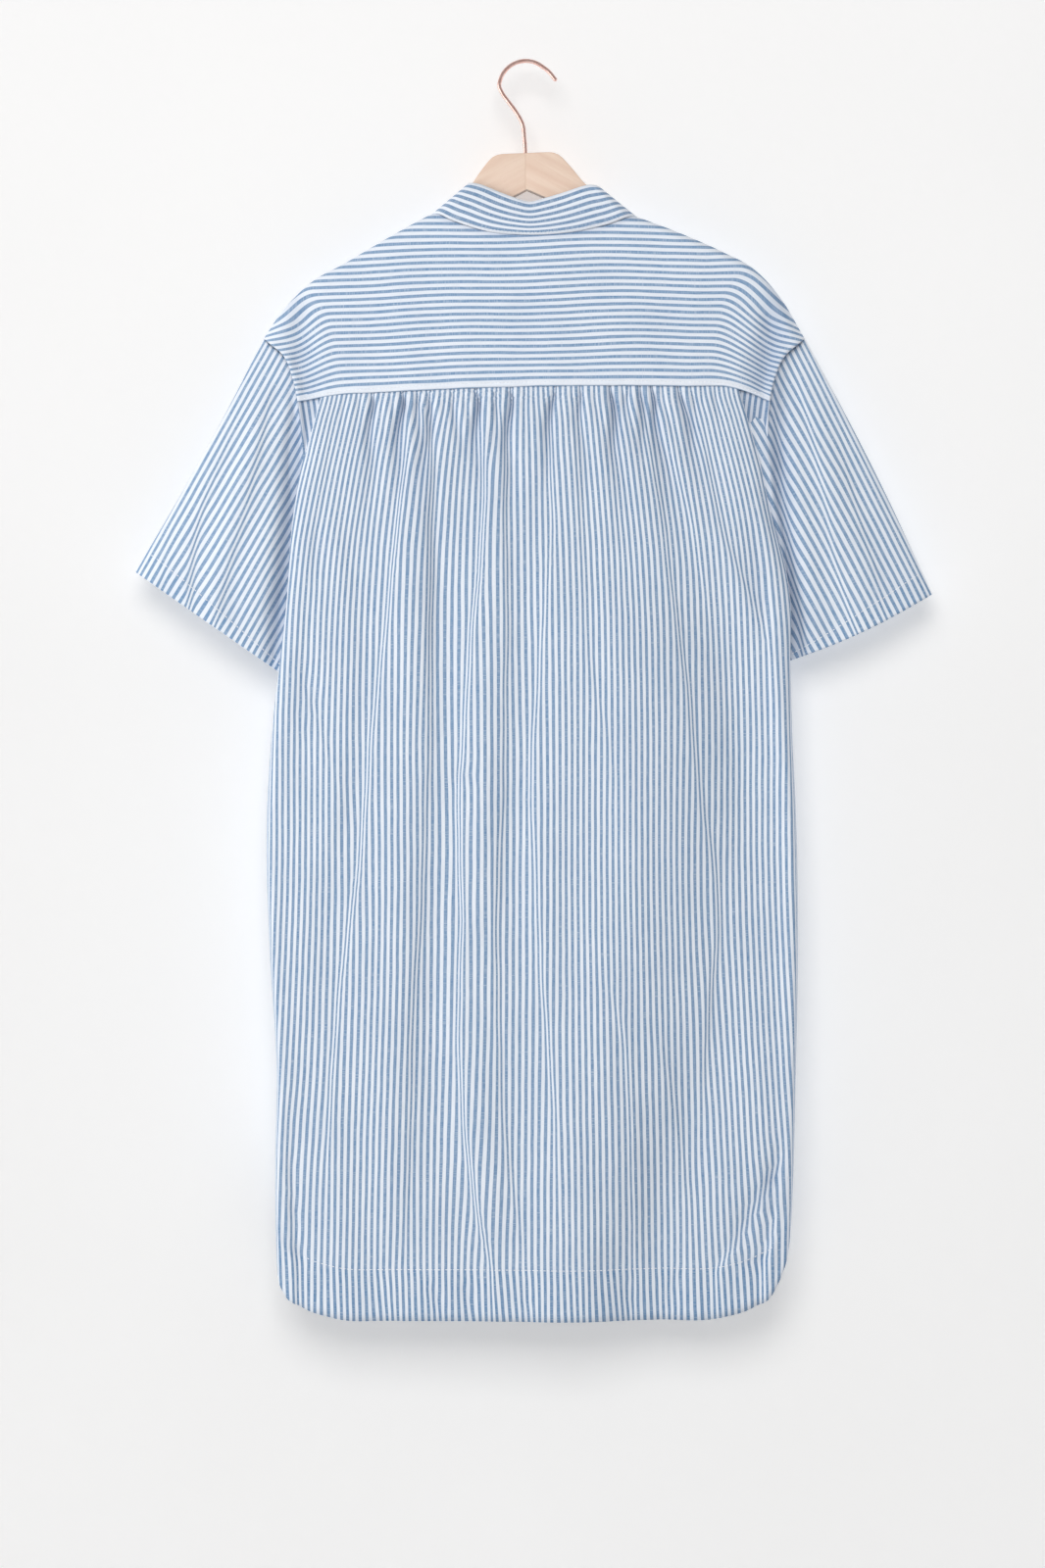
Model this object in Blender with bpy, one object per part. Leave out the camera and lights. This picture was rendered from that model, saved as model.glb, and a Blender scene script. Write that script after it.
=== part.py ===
"""A band-collared shirt dress hung on a flat wooden hanger.

Metres, +Z up. The origin is the inside top of the hanger's hook, where a rail carries it. The back of the
dress faces -Y and its front +Y, and left and right are those of somebody who looks at the back. The tables
and sizes are in millimetres.
"""

import bmesh
import bpy
import numpy as np
from mathutils import Matrix, Vector

MM = 0.001

# Cloth
WALL = 1.0  # thickness of every cloth wall
SEAM = 0.4  # gap between two pieces that a seam joins
SIDE_SEAM = 0.9  # the same at the side seams, where the walls meet at an angle
BAND_SEAM = 0.9  # the same between the neck edges and the band
LAP = 0.5  # gap between two walls that lie on each other
BACK, FRONT = -1.0, 1.0  # the side of the middle plane on which a layer lies
CLOTH_WIDTH = 560.0  # of one layer of the body, from side seam to side seam

# Heights at which the form of the body changes
JOIN = -335.0  # below this the layers hang free, above it they lie on the shoulders
UNDERARM = -522.0
LOWEST = -1212.0
EDGE_CORNER = 14.0  # how far in from the body's edges the cloth turns round to the other layer
UPPER_CROWN = 0.25  # share of the depth above the join that is lost over UPPER_HALF_WIDTH
UPPER_HALF_WIDTH = 215.0

# Neck, band and button band
NECK_LEFT, NECK_RIGHT = -91.0, 107.0
NECK_SHOULDERS = (0.30, 0.71)  # where along the neck seam the shoulder lines meet it
NECK_CORNERS = (0.22, 0.79)  # and the seams between yoke and fronts
CENTRE_FRONT = 7.0
BAND_BELLY = 3.0
BAND_WIDTH = 30.0
UNDERLAP = 13.0
BUTTON_RADIUS = 5.6
BUTTON_THICK = 2.4
BUTTON_RIM, BUTTON_RIM_WIDE = 0.9, 1.7  # height and width of the rim round the face
BUTTON_GAP = 0.35  # between a button and the cloth
BUTTON_SIDES = 16
BUTTON_FIRST, BUTTON_STEP, BUTTON_COUNT = -240.0, 94.0, 9
BAND_BUTTON = -199.0

# Shoulders
FRONT_YOKE_CORNER = {"left": (-237.0, -83.0), "right": (252.0, 99.0)}  # x at the armhole and at the neck
SHOULDER_ROUND = 8.0  # depth below the shoulder line at which the cloth has turned down
SHOULDER_DEPTH = 8.4  # half the width over the shoulder
YOKE_TURN = 0.6  # the share of the yoke's rows that lies on the back
BACK_ROWS, FRONT_ROWS = 8, 5  # rows of the yoke's wall on each side of the shoulder line
EDGE_SHARE = 0.12  # how far a piece's edge at the armhole is felt across it

# Gathers of the back panel at the yoke seam
GATHER_LEFT, GATHER_RIGHT = -198.0, 202.0
GATHER_COUNT = 16
GATHER_HIGH = 2.3
GATHER_LENGTH = 75.0

# Sleeves
CUFF_DEPTH = 11.0
SLEEVE_BELLY = 3.5
SLEEVE_GAP = 1.0  # how far a sleeve's edge lies out and behind the edge of the body's wall

# Hanger
WOOD_THICK = 11.0
ARM_ROUND = 5.0  # rounding of the arms' edges
NECK_ROUND = 1.6  # and of the edges round the hook
ARM_FROM = 50.0  # where the arms begin, from the hook
WOOD_TILT = np.radians(2.3)
WOOD_TOP = Vector((-1.0, 0.0, -88.0))  # where the hook enters the wood
WIRE_RADIUS = 2.0
WIRE_DEPTH = 17.0
HOLE_PLAY = 0.4  # between the hook and its hole
HOOK_CENTRE_Z = -22.3
HOOK_RADIUS = 24.3
HOOK_START, HOOK_END = 206.0, -14.0  # the loop's ends, in degrees from level, anticlockwise
HOOK_OPENED = 2.5  # how far the loop's start is drawn outward
HOOK_STEM = [(-2.0, -72.0), (-3.5, -60.0), (-10.0, -47.5), (-18.0, -38.0)]  # x and z, up from the wood
HOOK_TIP = [(20.0, -7.0), (29.0, -17.5)]


def table(columns, rows):
    """The named columns of a short table."""
    return dict(zip(columns.split(), np.array(rows, float).T))


# The body below the yoke, a row for each height: the outermost line of the cloth and the side seam on each
# side, how far from the middle plane the seams lie, how far the back and the front stand from it, and how
# much of that they lose towards the sides. Above the underarm the seams are those of ARMHOLE.
BODY = table(
    "z left_fold left_seam right_fold right_seam left_y right_y back front crown",
    [
        (-290, -190, -231, 193, 247, 0, 0, 13, 13, 0.25),
        (-328, -200, -220, 207, 234, 0, 0, 15, 14, 0.25),
        (-375, -213.5, -215, 220, 233, 0, 0, 18, 16, 0.22),
        (-423, -222, -213, 233, 236, 0, 0, 20, 18, 0.18),
        (-461, -226.5, -214, 244, 243, 0, 0, 22, 19, 0.16),
        (-522, -230, -220, 253.5, 247, 0, 0, 24, 21, 0.14),
        (-575, -236, -226, 253, 246, 0, 0, 26, 22, 0.13),
        (-640, -243.5, -238, 255, 252, 0, 0, 28, 24, 0.12),
        (-720, -249.5, -249, 259, 258.5, 0, 0, 29, 26, 0.12),
        (-853, -247, -247, 261, 261, 0, 0, 31, 28, 0.12),
        (-975, -240, -240, 258.5, 258.5, 2, -4, 33, 30, 0.11),
        (-1060, -241.5, -241.5, 256, 255, 4, -9, 34, 31, 0.10),
        (-1212, -239, -237, 248, 243, 6, -12, 36, 33, 0.10),
    ],
)
ARMHOLE = table(
    "z left right y",
    [
        (-266, -253, 268, 0),
        (-270, -249, 264, 6.5),
        (-280, -237, 252, 8.6),
        (-305, -225, 239, 9.3),
        (-328, -220, 234, 9.5),
        (-375, -215, 233, 7),
        (-423, -213, 236, 5),
        (-461, -214, 243, 4),
        (-500, -217.5, 246, 3),
        (-522, -220, 247, 0),
    ],
)

# The shoulder line from armhole to armhole. Between the sides of the neck it is only a guide.
SHOULDER = table(
    "x z",
    [
        (-253, -266),
        (-237, -242),
        (-223, -226),
        (-210, -214),
        (-174, -193),
        (-129, -166.5),
        (-91, -146),
        (0, -118),
        (107, -149),
        (153, -166.5),
        (191, -183.5),
        (217, -197.5),
        (229, -208),
        (247, -230),
        (268, -266),
    ],
)
YOKE_SEAM = table(
    "x z",
    [
        (-220, -328),
        (-185, -322),
        (-130, -319),
        (0, -314),
        (150, -313.5),
        (196, -314.5),
        (215, -319.5),
        (234, -328),
    ],
)
FRONT_YOKE_SEAM = table(
    "x z",
    [
        (-237, -280),
        (-200, -244),
        (-150, -214),
        (-83, -178),
        (99, -181),
        (150, -200),
        (200, -223),
        (252, -280),
    ],
)

# The neck seam and the band's top edge, from the left end at the centre front round the back of the neck.
NECK = table(
    "along x z",
    [
        (0.00, 7, -216),
        (0.04, -10, -216),
        (0.12, -44, -205),
        (0.22, -83, -178),
        (0.30, -91, -146),
        (0.36, -68, -155),
        (0.43, -36, -164.5),
        (0.50, 3, -167.5),
        (0.57, 42, -165),
        (0.64, 76, -158),
        (0.71, 107, -149),
        (0.79, 99, -181),
        (0.89, 58, -205),
        (0.96, 24, -216),
        (1.00, 7, -216),
    ],
)
BAND_TOP = table(
    "along x y z",
    [
        (0.00, 7, 12.5, -184),
        (0.04, -6, 12.5, -182),
        (0.12, -32, 12, -166),
        (0.22, -54, 10.5, -139),
        (0.27, -58, 9, -124),
        (0.30, -57.5, 0, -118),
        (0.33, -53, -9, -117.5),
        (0.36, -46, -9.5, -118.5),
        (0.43, -22, -9.5, -128.5),
        (0.50, 3, -9.5, -136),
        (0.57, 32, -9.5, -128.5),
        (0.64, 59, -9.5, -119.5),
        (0.68, 67, -9, -120),
        (0.71, 71, 0, -120.5),
        (0.74, 70, 9, -126),
        (0.79, 67, 10.5, -141),
        (0.89, 45, 12, -166),
        (0.96, 20, 12.5, -182),
        (1.00, 7, 12.5, -184),
    ],
)

# The hems, by the distance from the side seam along the cloth.
HEM = table(
    "along back front",
    [
        (0, -1028, -1026),
        (8, -1066, -1060),
        (16, -1104, -1092),
        (26, -1140, -1122),
        (38, -1168, -1147),
        (54, -1187, -1165),
        (76, -1199, -1177),
        (104, -1206, -1184),
        (150, -1208.5, -1187),
    ],
)

# Long soft folds, a row for each: how high and wide, the heights between which it shows, and where its steep
# side runs at each of FOLD_HEIGHTS.
FOLD_HEIGHTS = (-340, -458, -575, -693, -810, -928, -1045, -1160)
FOLD_COLUMNS = "high wide top end x0 x1 x2 x3 x4 x5 x6 x7"
BACK_FOLDS = table(
    FOLD_COLUMNS,
    [
        (2.5, 9, -330, -620, -185, -197, -215, -215, -215, -215, -215, -215),
        (3.5, 10, -330, -1060, -118, -124, -137, -152, -165, -183, -188, -190),
        (2.5, 9, -330, -960, -98, -96, -101, -97, -106, -106, -106, -106),
        (4.5, 11, -330, -1175, -44, -43, -54, -63, -63, -64, -58, -45),
        (2.5, 9, -330, -900, -20, -24, -21, -23, -32, -32, -32, -32),
        (3.5, 10, -330, -1070, 24, 24, 12, 5, 11, 21, 26, 26),
        (2.0, 10, -330, -720, 50, 52, 62, 84, 84, 84, 84, 84),
        (4.0, 11, -330, -980, 113, 132, 149, 165, 184, 175, 175, 175),
        (2.5, 9, -330, -560, 135, 159, 170, 170, 170, 170, 170, 170),
        (3.0, 10, -330, -600, 172, 189, 220, 220, 220, 220, 220, 220),
        (3.5, 16, -880, -1230, 78, 78, 78, 78, 78, 85, 108, 92),
    ],
)
FRONT_FOLDS = table(
    FOLD_COLUMNS,
    [
        (3.0, 12, -340, -900, -150, -160, -172, -180, -184, -184, -184, -184),
        (3.5, 13, -350, -1120, -92, -90, -98, -108, -112, -104, -98, -98),
        (2.5, 12, -420, -1190, -42, -44, -50, -52, -46, -44, -50, -56),
        (2.5, 12, -350, -1190, 62, 60, 54, 56, 64, 66, 60, 56),
        (3.5, 13, -350, -1080, 112, 118, 126, 128, 120, 118, 122, 122),
        (3.0, 12, -340, -860, 166, 176, 188, 196, 200, 200, 200, 200),
    ],
)

# Each sleeve: the two ends of its cuff, and how far its outer edge and its cuff bow out.
SLEEVES = {
    "left": dict(out=-1.0, outer=(-377, -491), inner=(-232, -592), edge_bow=-3.5, cuff_bow=0.0),
    "right": dict(out=1.0, outer=(391, -512.5), inner=(249.5, -578), edge_bow=3.5, cuff_bow=5.0),
}

# The upper outline of the hanger's arm from the hook outward, level and untilted, and its underside.
ARM_TOP = table(
    "x z",
    [
        (31, 0),
        (36, -4.5),
        (45, -17),
        (54, -29),
        (66, -41),
        (84, -57),
        (105, -68.5),
        (130, -78.5),
        (152, -87.5),
        (174, -99.5),
        (191, -109),
        (209, -119.5),
    ],
)
ARM_END = [(213.0, -127.0), (207.0, -134.5)]
ARM_NOTCH = (0.0, -35.0)


def ease(t):
    """0 to 1 with a level start and end."""
    t = np.clip(t, 0.0, 1.0)
    return t * t * (3 - 2 * t)


def smooth(at, places, values):
    """Reads a curve that runs smoothly through a table's rows."""
    places, values = np.asarray(places, float), np.asarray(values, float)
    if places[0] > places[-1]:
        places, values = places[::-1], values[::-1]
    slopes = np.gradient(values, places)
    at = np.clip(np.asarray(at, float), places[0], places[-1])
    row = np.clip(np.searchsorted(places, at) - 1, 0, len(places) - 2)
    span = places[row + 1] - places[row]
    t = (at - places[row]) / span
    bend = t * (1 - t) * span * (slopes[row] * (1 - t) - slopes[row + 1] * t)
    step = values[row + 1] - values[row]
    return values[row] + step * ease(t) + bend


def read(rows, column, at, by="z"):
    """A table's column at a place of its first column."""
    return smooth(at, rows[by], rows[column])


def fold_relief(x, z, folds):
    """How far the folds lift the cloth off its plain form: each is a ridge, a steep side and a trough."""
    lift = np.zeros(np.broadcast(x, z).shape)
    for k in range(len(folds["high"])):
        places = [folds[f"x{n}"][k] for n in range(len(FOLD_HEIGHTS))]
        across = (x - smooth(z, FOLD_HEIGHTS, places)) / folds["wide"][k]
        shown = ease((folds["top"][k] + 20 - z) / 60) * ease((z - folds["end"][k]) / 160)
        lift -= folds["high"][k] * shown * across * np.exp(0.5 - 0.5 * across * across)
    return lift


def gathers(x, z):
    """The ripples that hang from the gathered stretch of the yoke seam."""
    inside = (x - GATHER_LEFT) / (GATHER_RIGHT - GATHER_LEFT)
    below = read(YOKE_SEAM, "z", x, by="x") - z
    fade = np.exp(-np.clip(below, 0, None) / GATHER_LENGTH)
    ends = ease(inside / 0.05) * ease((1 - inside) / 0.05)
    return GATHER_HIGH * np.cos(2 * np.pi * GATHER_COUNT * inside) * fade * ends


def body_section(z, layer, middle=420, turn=40):
    """One layer's line at a height, from the left seam to the right one: its x and y."""
    row = {name: float(read(BODY, name, z)) for name in BODY if name != "z"}
    depth = row["back"] if layer == BACK else row["front"]
    edge_depth = depth * (1 - row["crown"])
    angle = np.linspace(0, np.pi / 2, turn)
    ends = {}
    for side, inward in (("left", 1.0), ("right", -1.0)):
        fold, seam, seam_y = row[side + "_fold"], row[side + "_seam"], row[side + "_y"] * layer
        if z > UNDERARM:
            seam, seam_y = float(read(ARMHOLE, side, z)), float(read(ARMHOLE, "y", z))
        tuck = (seam - fold) * inward
        widest = np.pi / 2 - np.pi / 4 * min(abs(tuck) / 8, 1)
        rounding = EDGE_CORNER * (1 - np.sin(np.clip(angle / widest, 0, 1) * np.pi / 2))
        tucked = tuck * ease((angle - widest) / (np.pi / 2 - widest + 1e-6))
        x = fold + inward * (rounding + tucked)
        y = seam_y + (edge_depth - seam_y) * np.cos(angle)
        ends[side] = (x, y)
    (left_x, left_y), (right_x, right_y) = ends["left"], ends["right"]
    t = np.linspace(-1, 1, middle)
    across = left_x[0] + (right_x[0] - left_x[0]) * (t + 1) / 2
    level = depth * (1 - row["crown"] * t * t)
    x = np.concatenate([left_x[:0:-1], across, right_x[1:]])
    y = np.concatenate([left_y[:0:-1], level, right_y[1:]])
    bare = np.zeros(turn - 1)
    inner = np.concatenate([bare, ease((1 - abs(t)) / 0.08), bare])
    lift = fold_relief(x, z, BACK_FOLDS if layer == BACK else FRONT_FOLDS)
    if layer == BACK:
        lift = lift + gathers(x, z)
    return x, layer * (y + lift * inner)


class Layer:
    """The back or the front of the body: its points by the share of its width and the height."""

    def __init__(self, layer, top=-296.0, step=6.0, shares=600):
        self.heights = np.arange(top, LOWEST - step, -step)
        self.shares = np.linspace(0, 1, shares)
        lines = []
        for z in self.heights:
            x, y = body_section(z, layer)
            run = np.concatenate([[0], np.cumsum(np.hypot(np.diff(x), np.diff(y)))])
            share = run / run[-1]
            lines.append([np.interp(self.shares, share, x), np.interp(self.shares, share, y)])
        self.grids = np.array(lines).transpose(1, 0, 2)

    def at(self, share, z):
        """x and y of the points at these shares of the width and these heights."""
        step = self.heights[0] - self.heights[1]
        down = np.clip((self.heights[0] - z) / step, 0, len(self.heights) - 1.001)
        over = np.clip(share, 0, 1) * (len(self.shares) - 1.001)
        i, j = down.astype(int), over.astype(int)
        a, b = down - i, over - j
        found = []
        for grid in self.grids:
            upper = grid[i, j] * (1 - b) + grid[i, j + 1] * b
            lower = grid[i + 1, j] * (1 - b) + grid[i + 1, j + 1] * b
            found.append(upper * (1 - a) + lower * a)
        return found


LAYERS = {BACK: Layer(BACK), FRONT: Layer(FRONT)}


def hem_height(share, column):
    """The height of a hem at a share of the layer's width."""
    return read(HEM, column, np.minimum(share, 1 - share) * CLOTH_WIDTH, by="along")


def upper_depth(x, z, layer):
    """How far the cloth stands from the middle plane on and above the level of the yoke seam."""
    line = read(SHOULDER, "z", x, by="x")
    below = np.clip(line - z, 0, None)
    span = (x - CENTRE_FRONT) / UPPER_HALF_WIDTH
    deep = read(BODY, "back" if layer == BACK else "front", JOIN) * (1 - UPPER_CROWN * span * span)
    grown = SHOULDER_DEPTH + (deep - SHOULDER_DEPTH) * np.clip(below / (line - JOIN), 0, 1.2)
    return grown * np.sqrt(1 - (1 - np.clip(below / SHOULDER_ROUND, 0, 1)) ** 2)


def to_armhole(near, y, edge_z, layer):
    """Brings y to the armhole's edge, whose height is edge_z, as near goes to 1."""
    return y + ease(near) * (layer * read(ARMHOLE, "y", edge_z) - y)


def back_panel_point(u, v):
    """u from the left seam to the right one, v from the yoke seam to the hem."""
    share = (SIDE_SEAM / 2 + u * (CLOTH_WIDTH - SIDE_SEAM)) / CLOTH_WIDTH
    x = YOKE_SEAM["x"][0] + (YOKE_SEAM["x"][-1] - YOKE_SEAM["x"][0]) * share
    for _ in range(4):
        top = read(YOKE_SEAM, "z", x, by="x") - SEAM / 2
        x, _y = LAYERS[BACK].at(share, top)
    z = top + (hem_height(share, "back") - top) * v
    x, y = LAYERS[BACK].at(share, z)
    return np.stack([x, y, z], axis=-1)


def neck_side(side, z):
    """x of the neck seam on the front between the shoulder line and the front's corner."""
    k = 0 if side == "left" else 1
    along = np.linspace(NECK_CORNERS[k], NECK_SHOULDERS[k], 60)
    return np.interp(z, read(NECK, "z", along, by="along"), read(NECK, "x", along, by="along"))


def neck_height(x, front=False):
    """The height of the neck seam at the back of the neck, or at its front."""
    stretches = [(0, NECK_CORNERS[0]), (NECK_CORNERS[1], 1)] if front else [NECK_SHOULDERS]
    along = np.concatenate([np.linspace(start, end, 200) for start, end in stretches])
    line_x, line_z = read(NECK, "x", along, by="along"), read(NECK, "z", along, by="along")
    order = np.argsort(line_x)
    return np.interp(x, line_x[order], line_z[order])


def yoke_point(u, v):
    """u from the left armhole to the right one, v up the back to the shoulder line and down the front."""
    rise, fall = np.clip(v / YOKE_TURN, 0, 1), np.clip((v - YOKE_TURN) / (1 - YOKE_TURN), 0, 1)
    top_x = SHOULDER["x"][0] + (SHOULDER["x"][-1] - SHOULDER["x"][0]) * u
    top = read(SHOULDER, "z", top_x, by="x")
    at_neck = (top_x > NECK_LEFT + 0.1) & (top_x < NECK_RIGHT - 0.1)
    top = np.where(at_neck, neck_height(top_x), top)
    foot_x = YOKE_SEAM["x"][0] + (YOKE_SEAM["x"][-1] - YOKE_SEAM["x"][0]) * u
    foot = read(YOKE_SEAM, "z", foot_x, by="x") + SEAM / 2
    down = (1 - rise) ** 2.2
    z = top - (top - foot) * down
    side_z = ARMHOLE["z"][0] + (YOKE_SEAM["z"][0] - ARMHOLE["z"][0]) * down
    x = read(ARMHOLE, "left", side_z) * (1 - u) + read(ARMHOLE, "right", side_z) * u
    edge = 1 - np.minimum(u, 1 - u) / EDGE_SHARE
    y = to_armhole(edge, -upper_depth(x, z, BACK), side_z, BACK)
    over = fall > 0
    front_x = np.interp(
        top_x,
        [SHOULDER["x"][0], NECK_LEFT, NECK_RIGHT, SHOULDER["x"][-1]],
        [*FRONT_YOKE_CORNER["left"], *reversed(FRONT_YOKE_CORNER["right"])],
    )
    front_z = read(FRONT_YOKE_SEAM, "z", front_x, by="x") + SEAM / 2
    drop = fall**1.8
    x = np.where(over, top_x + (front_x - top_x) * drop, x)
    z = np.where(over, top + (front_z - top) * drop, z)
    for side, neck_x in (("left", NECK_LEFT), ("right", NECK_RIGHT)):
        near = ease(1 - abs(top_x - neck_x) / 12) * over
        x = x + near * (neck_side(side, z) - (neck_x + (FRONT_YOKE_CORNER[side][1] - neck_x) * drop))
    corner_z = ARMHOLE["z"][0] + (FRONT_YOKE_SEAM["z"][0] - ARMHOLE["z"][0]) * drop
    front_y = to_armhole(edge, upper_depth(x, z, FRONT), corner_z, FRONT)
    y = np.where(over, front_y, y)
    return np.stack([x, y, z], axis=-1)


def front_point(side, u, v):
    """u from the armhole and side seam to the piece's edge at the centre front, v down to the hem."""
    inward = 1.0 if side == "left" else -1.0
    edge_x = CENTRE_FRONT + (UNDERLAP if side == "left" else BAND_WIDTH / 2 + SEAM)
    middle = share_at(edge_x, FRONT)
    start = SIDE_SEAM / 2 / CLOTH_WIDTH
    share = start + (middle - start) * u if side == "left" else 1 - start - (1 - start - middle) * u
    join_x, join_y = LAYERS[FRONT].at(share, np.full_like(share, JOIN))
    outer, inner = FRONT_YOKE_CORNER[side]
    arm = float(read(ARMHOLE, side, JOIN))
    spots = [arm, inner, edge_x]
    order = slice(None, None, int(inward))
    top_x = np.interp(join_x, spots[order], [outer, inner, edge_x][order])
    at_neck = (top_x - inner) * inward > 0
    yoke_edge = read(FRONT_YOKE_SEAM, "z", top_x, by="x")
    top = np.where(at_neck, neck_height(top_x, front=True), yoke_edge) - SEAM / 2
    z = top + (hem_height(share, "front") - top) * v
    lift = np.clip((z - JOIN) / (top - JOIN), 0, 1)
    edge_z = JOIN + (FRONT_YOKE_SEAM["z"][0] - SEAM / 2 - JOIN) * lift
    at_arm = ease(1 - u / EDGE_SHARE)
    upper_x = join_x + (top_x - join_x) * lift
    upper_x = upper_x + at_arm * (read(ARMHOLE, side, edge_z) - (arm + (outer - arm) * lift))
    upper_y = upper_depth(upper_x, z, FRONT)
    upper_y = upper_y + (join_y - upper_depth(join_x, JOIN, FRONT)) * (1 - lift) ** 2
    upper_y = to_armhole(1 - u / EDGE_SHARE, upper_y, edge_z, FRONT)
    x, y = LAYERS[FRONT].at(share, z)
    x, y = np.where(z > JOIN, upper_x, x), np.where(z > JOIN, upper_y, y)
    return np.stack([x, y, z], axis=-1)


def share_at(x, layer):
    """The share of the layer's width at which it passes this x, at the level of the join."""
    shares = np.linspace(0.2, 0.8, 400)
    line = LAYERS[layer].at(shares, np.full_like(shares, JOIN))[0]
    return float(np.interp(x, line, shares))


def front_surface(x, z):
    """y of the front's cloth at any point between the armholes."""
    shares = np.linspace(0.05, 0.95, 700)
    found = []
    for px, pz in zip(np.ravel(x), np.ravel(z)):
        if pz > JOIN:
            found.append(float(upper_depth(px, pz, FRONT)))
        else:
            line_x, line_y = LAYERS[FRONT].at(shares, np.full_like(shares, pz))
            found.append(float(np.interp(px, line_x, line_y)))
    return np.reshape(found, np.shape(x))


def placket_point(u, v):
    """A straight strip down the centre front, on the outside of the left front."""
    x = CENTRE_FRONT + BAND_WIDTH * (u - 0.5)
    top = neck_height(x, front=True) - SEAM / 2
    z = top + (read(HEM, "front", 150, by="along") - top) * v
    return np.stack([x, front_surface(x, z) + WALL + LAP, z], axis=-1)


def band_point(u, v):
    """u along the band from its left end round the back, v from the neck seam up to its top edge."""
    x, z = read(NECK, "x", u, by="along"), read(NECK, "z", u, by="along")
    behind = (u > NECK_SHOULDERS[0]) & (u < NECK_SHOULDERS[1])
    y = np.where(behind, -upper_depth(x, z, BACK), upper_depth(x, z, FRONT))
    foot = np.stack([x, y, z], axis=-1)
    top = np.stack([read(BAND_TOP, name, u, by="along") for name in "xyz"], axis=-1)
    start = BAND_SEAM / np.linalg.norm(top - foot, axis=-1)
    place = foot + (top - foot) * (start + (1 - start) * v)[:, None]
    left_end, right_end = ease(1 - u / 0.04), ease((u - 0.96) / 0.04)
    place[:, 0] += UNDERLAP * left_end - BAND_WIDTH / 2 * right_end
    place[:, 1] += (WALL + LAP) * ease((u - 0.93) / 0.03)
    outward = np.where(behind, -1.0, 1.0) * np.minimum(abs(foot[:, 1]) / 8, 1)
    place[:, 1] += outward * BAND_BELLY * np.sin(np.pi * v) * (1 - 0.4 * v)
    return place


def sleeve_point(side, u, v):
    """u round the sleeve from the shoulder down the back and up the front, v from the armhole to the cuff."""
    sleeve = SLEEVES[side]
    out = sleeve["out"]
    layer = np.where(u <= 0.5, BACK, FRONT)
    down = np.where(u <= 0.5, 2 * u, 2 * (1 - u))
    z = ARMHOLE["z"][0] + (UNDERARM - ARMHOLE["z"][0]) * down ** 1.15
    free = ease((JOIN + 10 - z) / 20)
    x = read(ARMHOLE, side, z) + out * (0.5 + (SLEEVE_GAP - 0.5) * free)
    hidden = np.minimum(read(ARMHOLE, "y", z), 8 * np.sqrt(down)) - SLEEVE_GAP * free
    arm = np.stack([x, layer * np.clip(hidden, 0, None), z], axis=-1)
    arm[:, 0] += out * 1.1 * ease((down - 0.7) / 0.2)
    outer, inner = np.array(sleeve["outer"], float), np.array(sleeve["inner"], float)
    along = (inner - outer) / np.hypot(*(inner - outer))
    line = outer + (inner - outer) * down[:, None]
    line += sleeve["cuff_bow"] * np.sin(np.pi * down)[:, None] * np.array([along[1], -along[0]]) * -out
    thick = CUFF_DEPTH * np.sqrt(np.clip(1 - abs(2 * down - 1) ** 3.4, 0, 1))
    cuff = np.stack([line[:, 0], layer * thick, line[:, 1]], axis=-1)
    place = arm + (cuff - arm) * v[:, None]
    swell = np.sin(np.pi * v)
    place[:, 1] += layer * SLEEVE_BELLY * swell * np.sin(np.pi * down)
    place[:, 0] += out * sleeve["edge_bow"] * swell * (1 - down) ** 2
    return place


def finish(name, mesh, material):
    """Puts a mesh in millimetres into the scene as an object in metres."""
    bmesh.ops.transform(mesh, matrix=Matrix.Scale(MM, 4), verts=mesh.verts)
    data = bpy.data.meshes.new(name)
    mesh.to_mesh(data)
    mesh.free()
    data.materials.append(material)
    data.shade_smooth()
    data.set_sharp_from_angle(angle=np.radians(40))
    obj = bpy.data.objects.new(name, data)
    bpy.context.scene.collection.objects.link(obj)
    return obj


def cloth(name, place, columns, rows, material, leave_out=None, tube=False):
    """A cloth wall through the points that place gives. columns and rows are the places of its lines."""
    mesh = bmesh.new()
    bmesh.ops.create_grid(mesh, x_segments=len(columns) - 1, y_segments=len(rows) - 1, size=0.5)
    flat = np.array([vert.co[:2] for vert in mesh.verts]) + 0.5
    column = np.rint(flat[:, 0] * (len(columns) - 1)).astype(int)
    row = np.rint(flat[:, 1] * (len(rows) - 1)).astype(int)
    u, v = np.asarray(columns)[column], np.asarray(rows)[row]
    if leave_out:
        middles = [(face, face.calc_center_median()) for face in mesh.faces]
        spare = [face for face, c in middles if leave_out(c.x + 0.5, c.y + 0.5)]
    for vert, point in zip(mesh.verts, place(u, v)):
        vert.co = Vector(point)
    if leave_out:
        bmesh.ops.delete(mesh, geom=spare, context="FACES")
    if tube:
        bmesh.ops.remove_doubles(mesh, verts=mesh.verts, dist=0.001)
    obj = finish(name, mesh, material)
    wall = obj.modifiers.new("Wall", "SOLIDIFY")
    wall.thickness = WALL * MM
    wall.offset = 0.0
    return obj


def uneven(*stretches):
    """Places from 0 to 1: each stretch is its end and the number of steps to it."""
    places, start = [0.0], 0.0
    for end, steps in stretches:
        places += [start + (end - start) * (k + 1) / steps for k in range(steps)]
        start = end
    return places


def make_material(name, colour, roughness, metallic=0.0):
    material = bpy.data.materials.new(name)
    material.use_nodes = True
    shader = material.node_tree.nodes["Principled BSDF"]
    shader.inputs["Base Color"].default_value = (*colour, 1)
    shader.inputs["Roughness"].default_value = roughness
    shader.inputs["Metallic"].default_value = metallic
    return material


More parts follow.
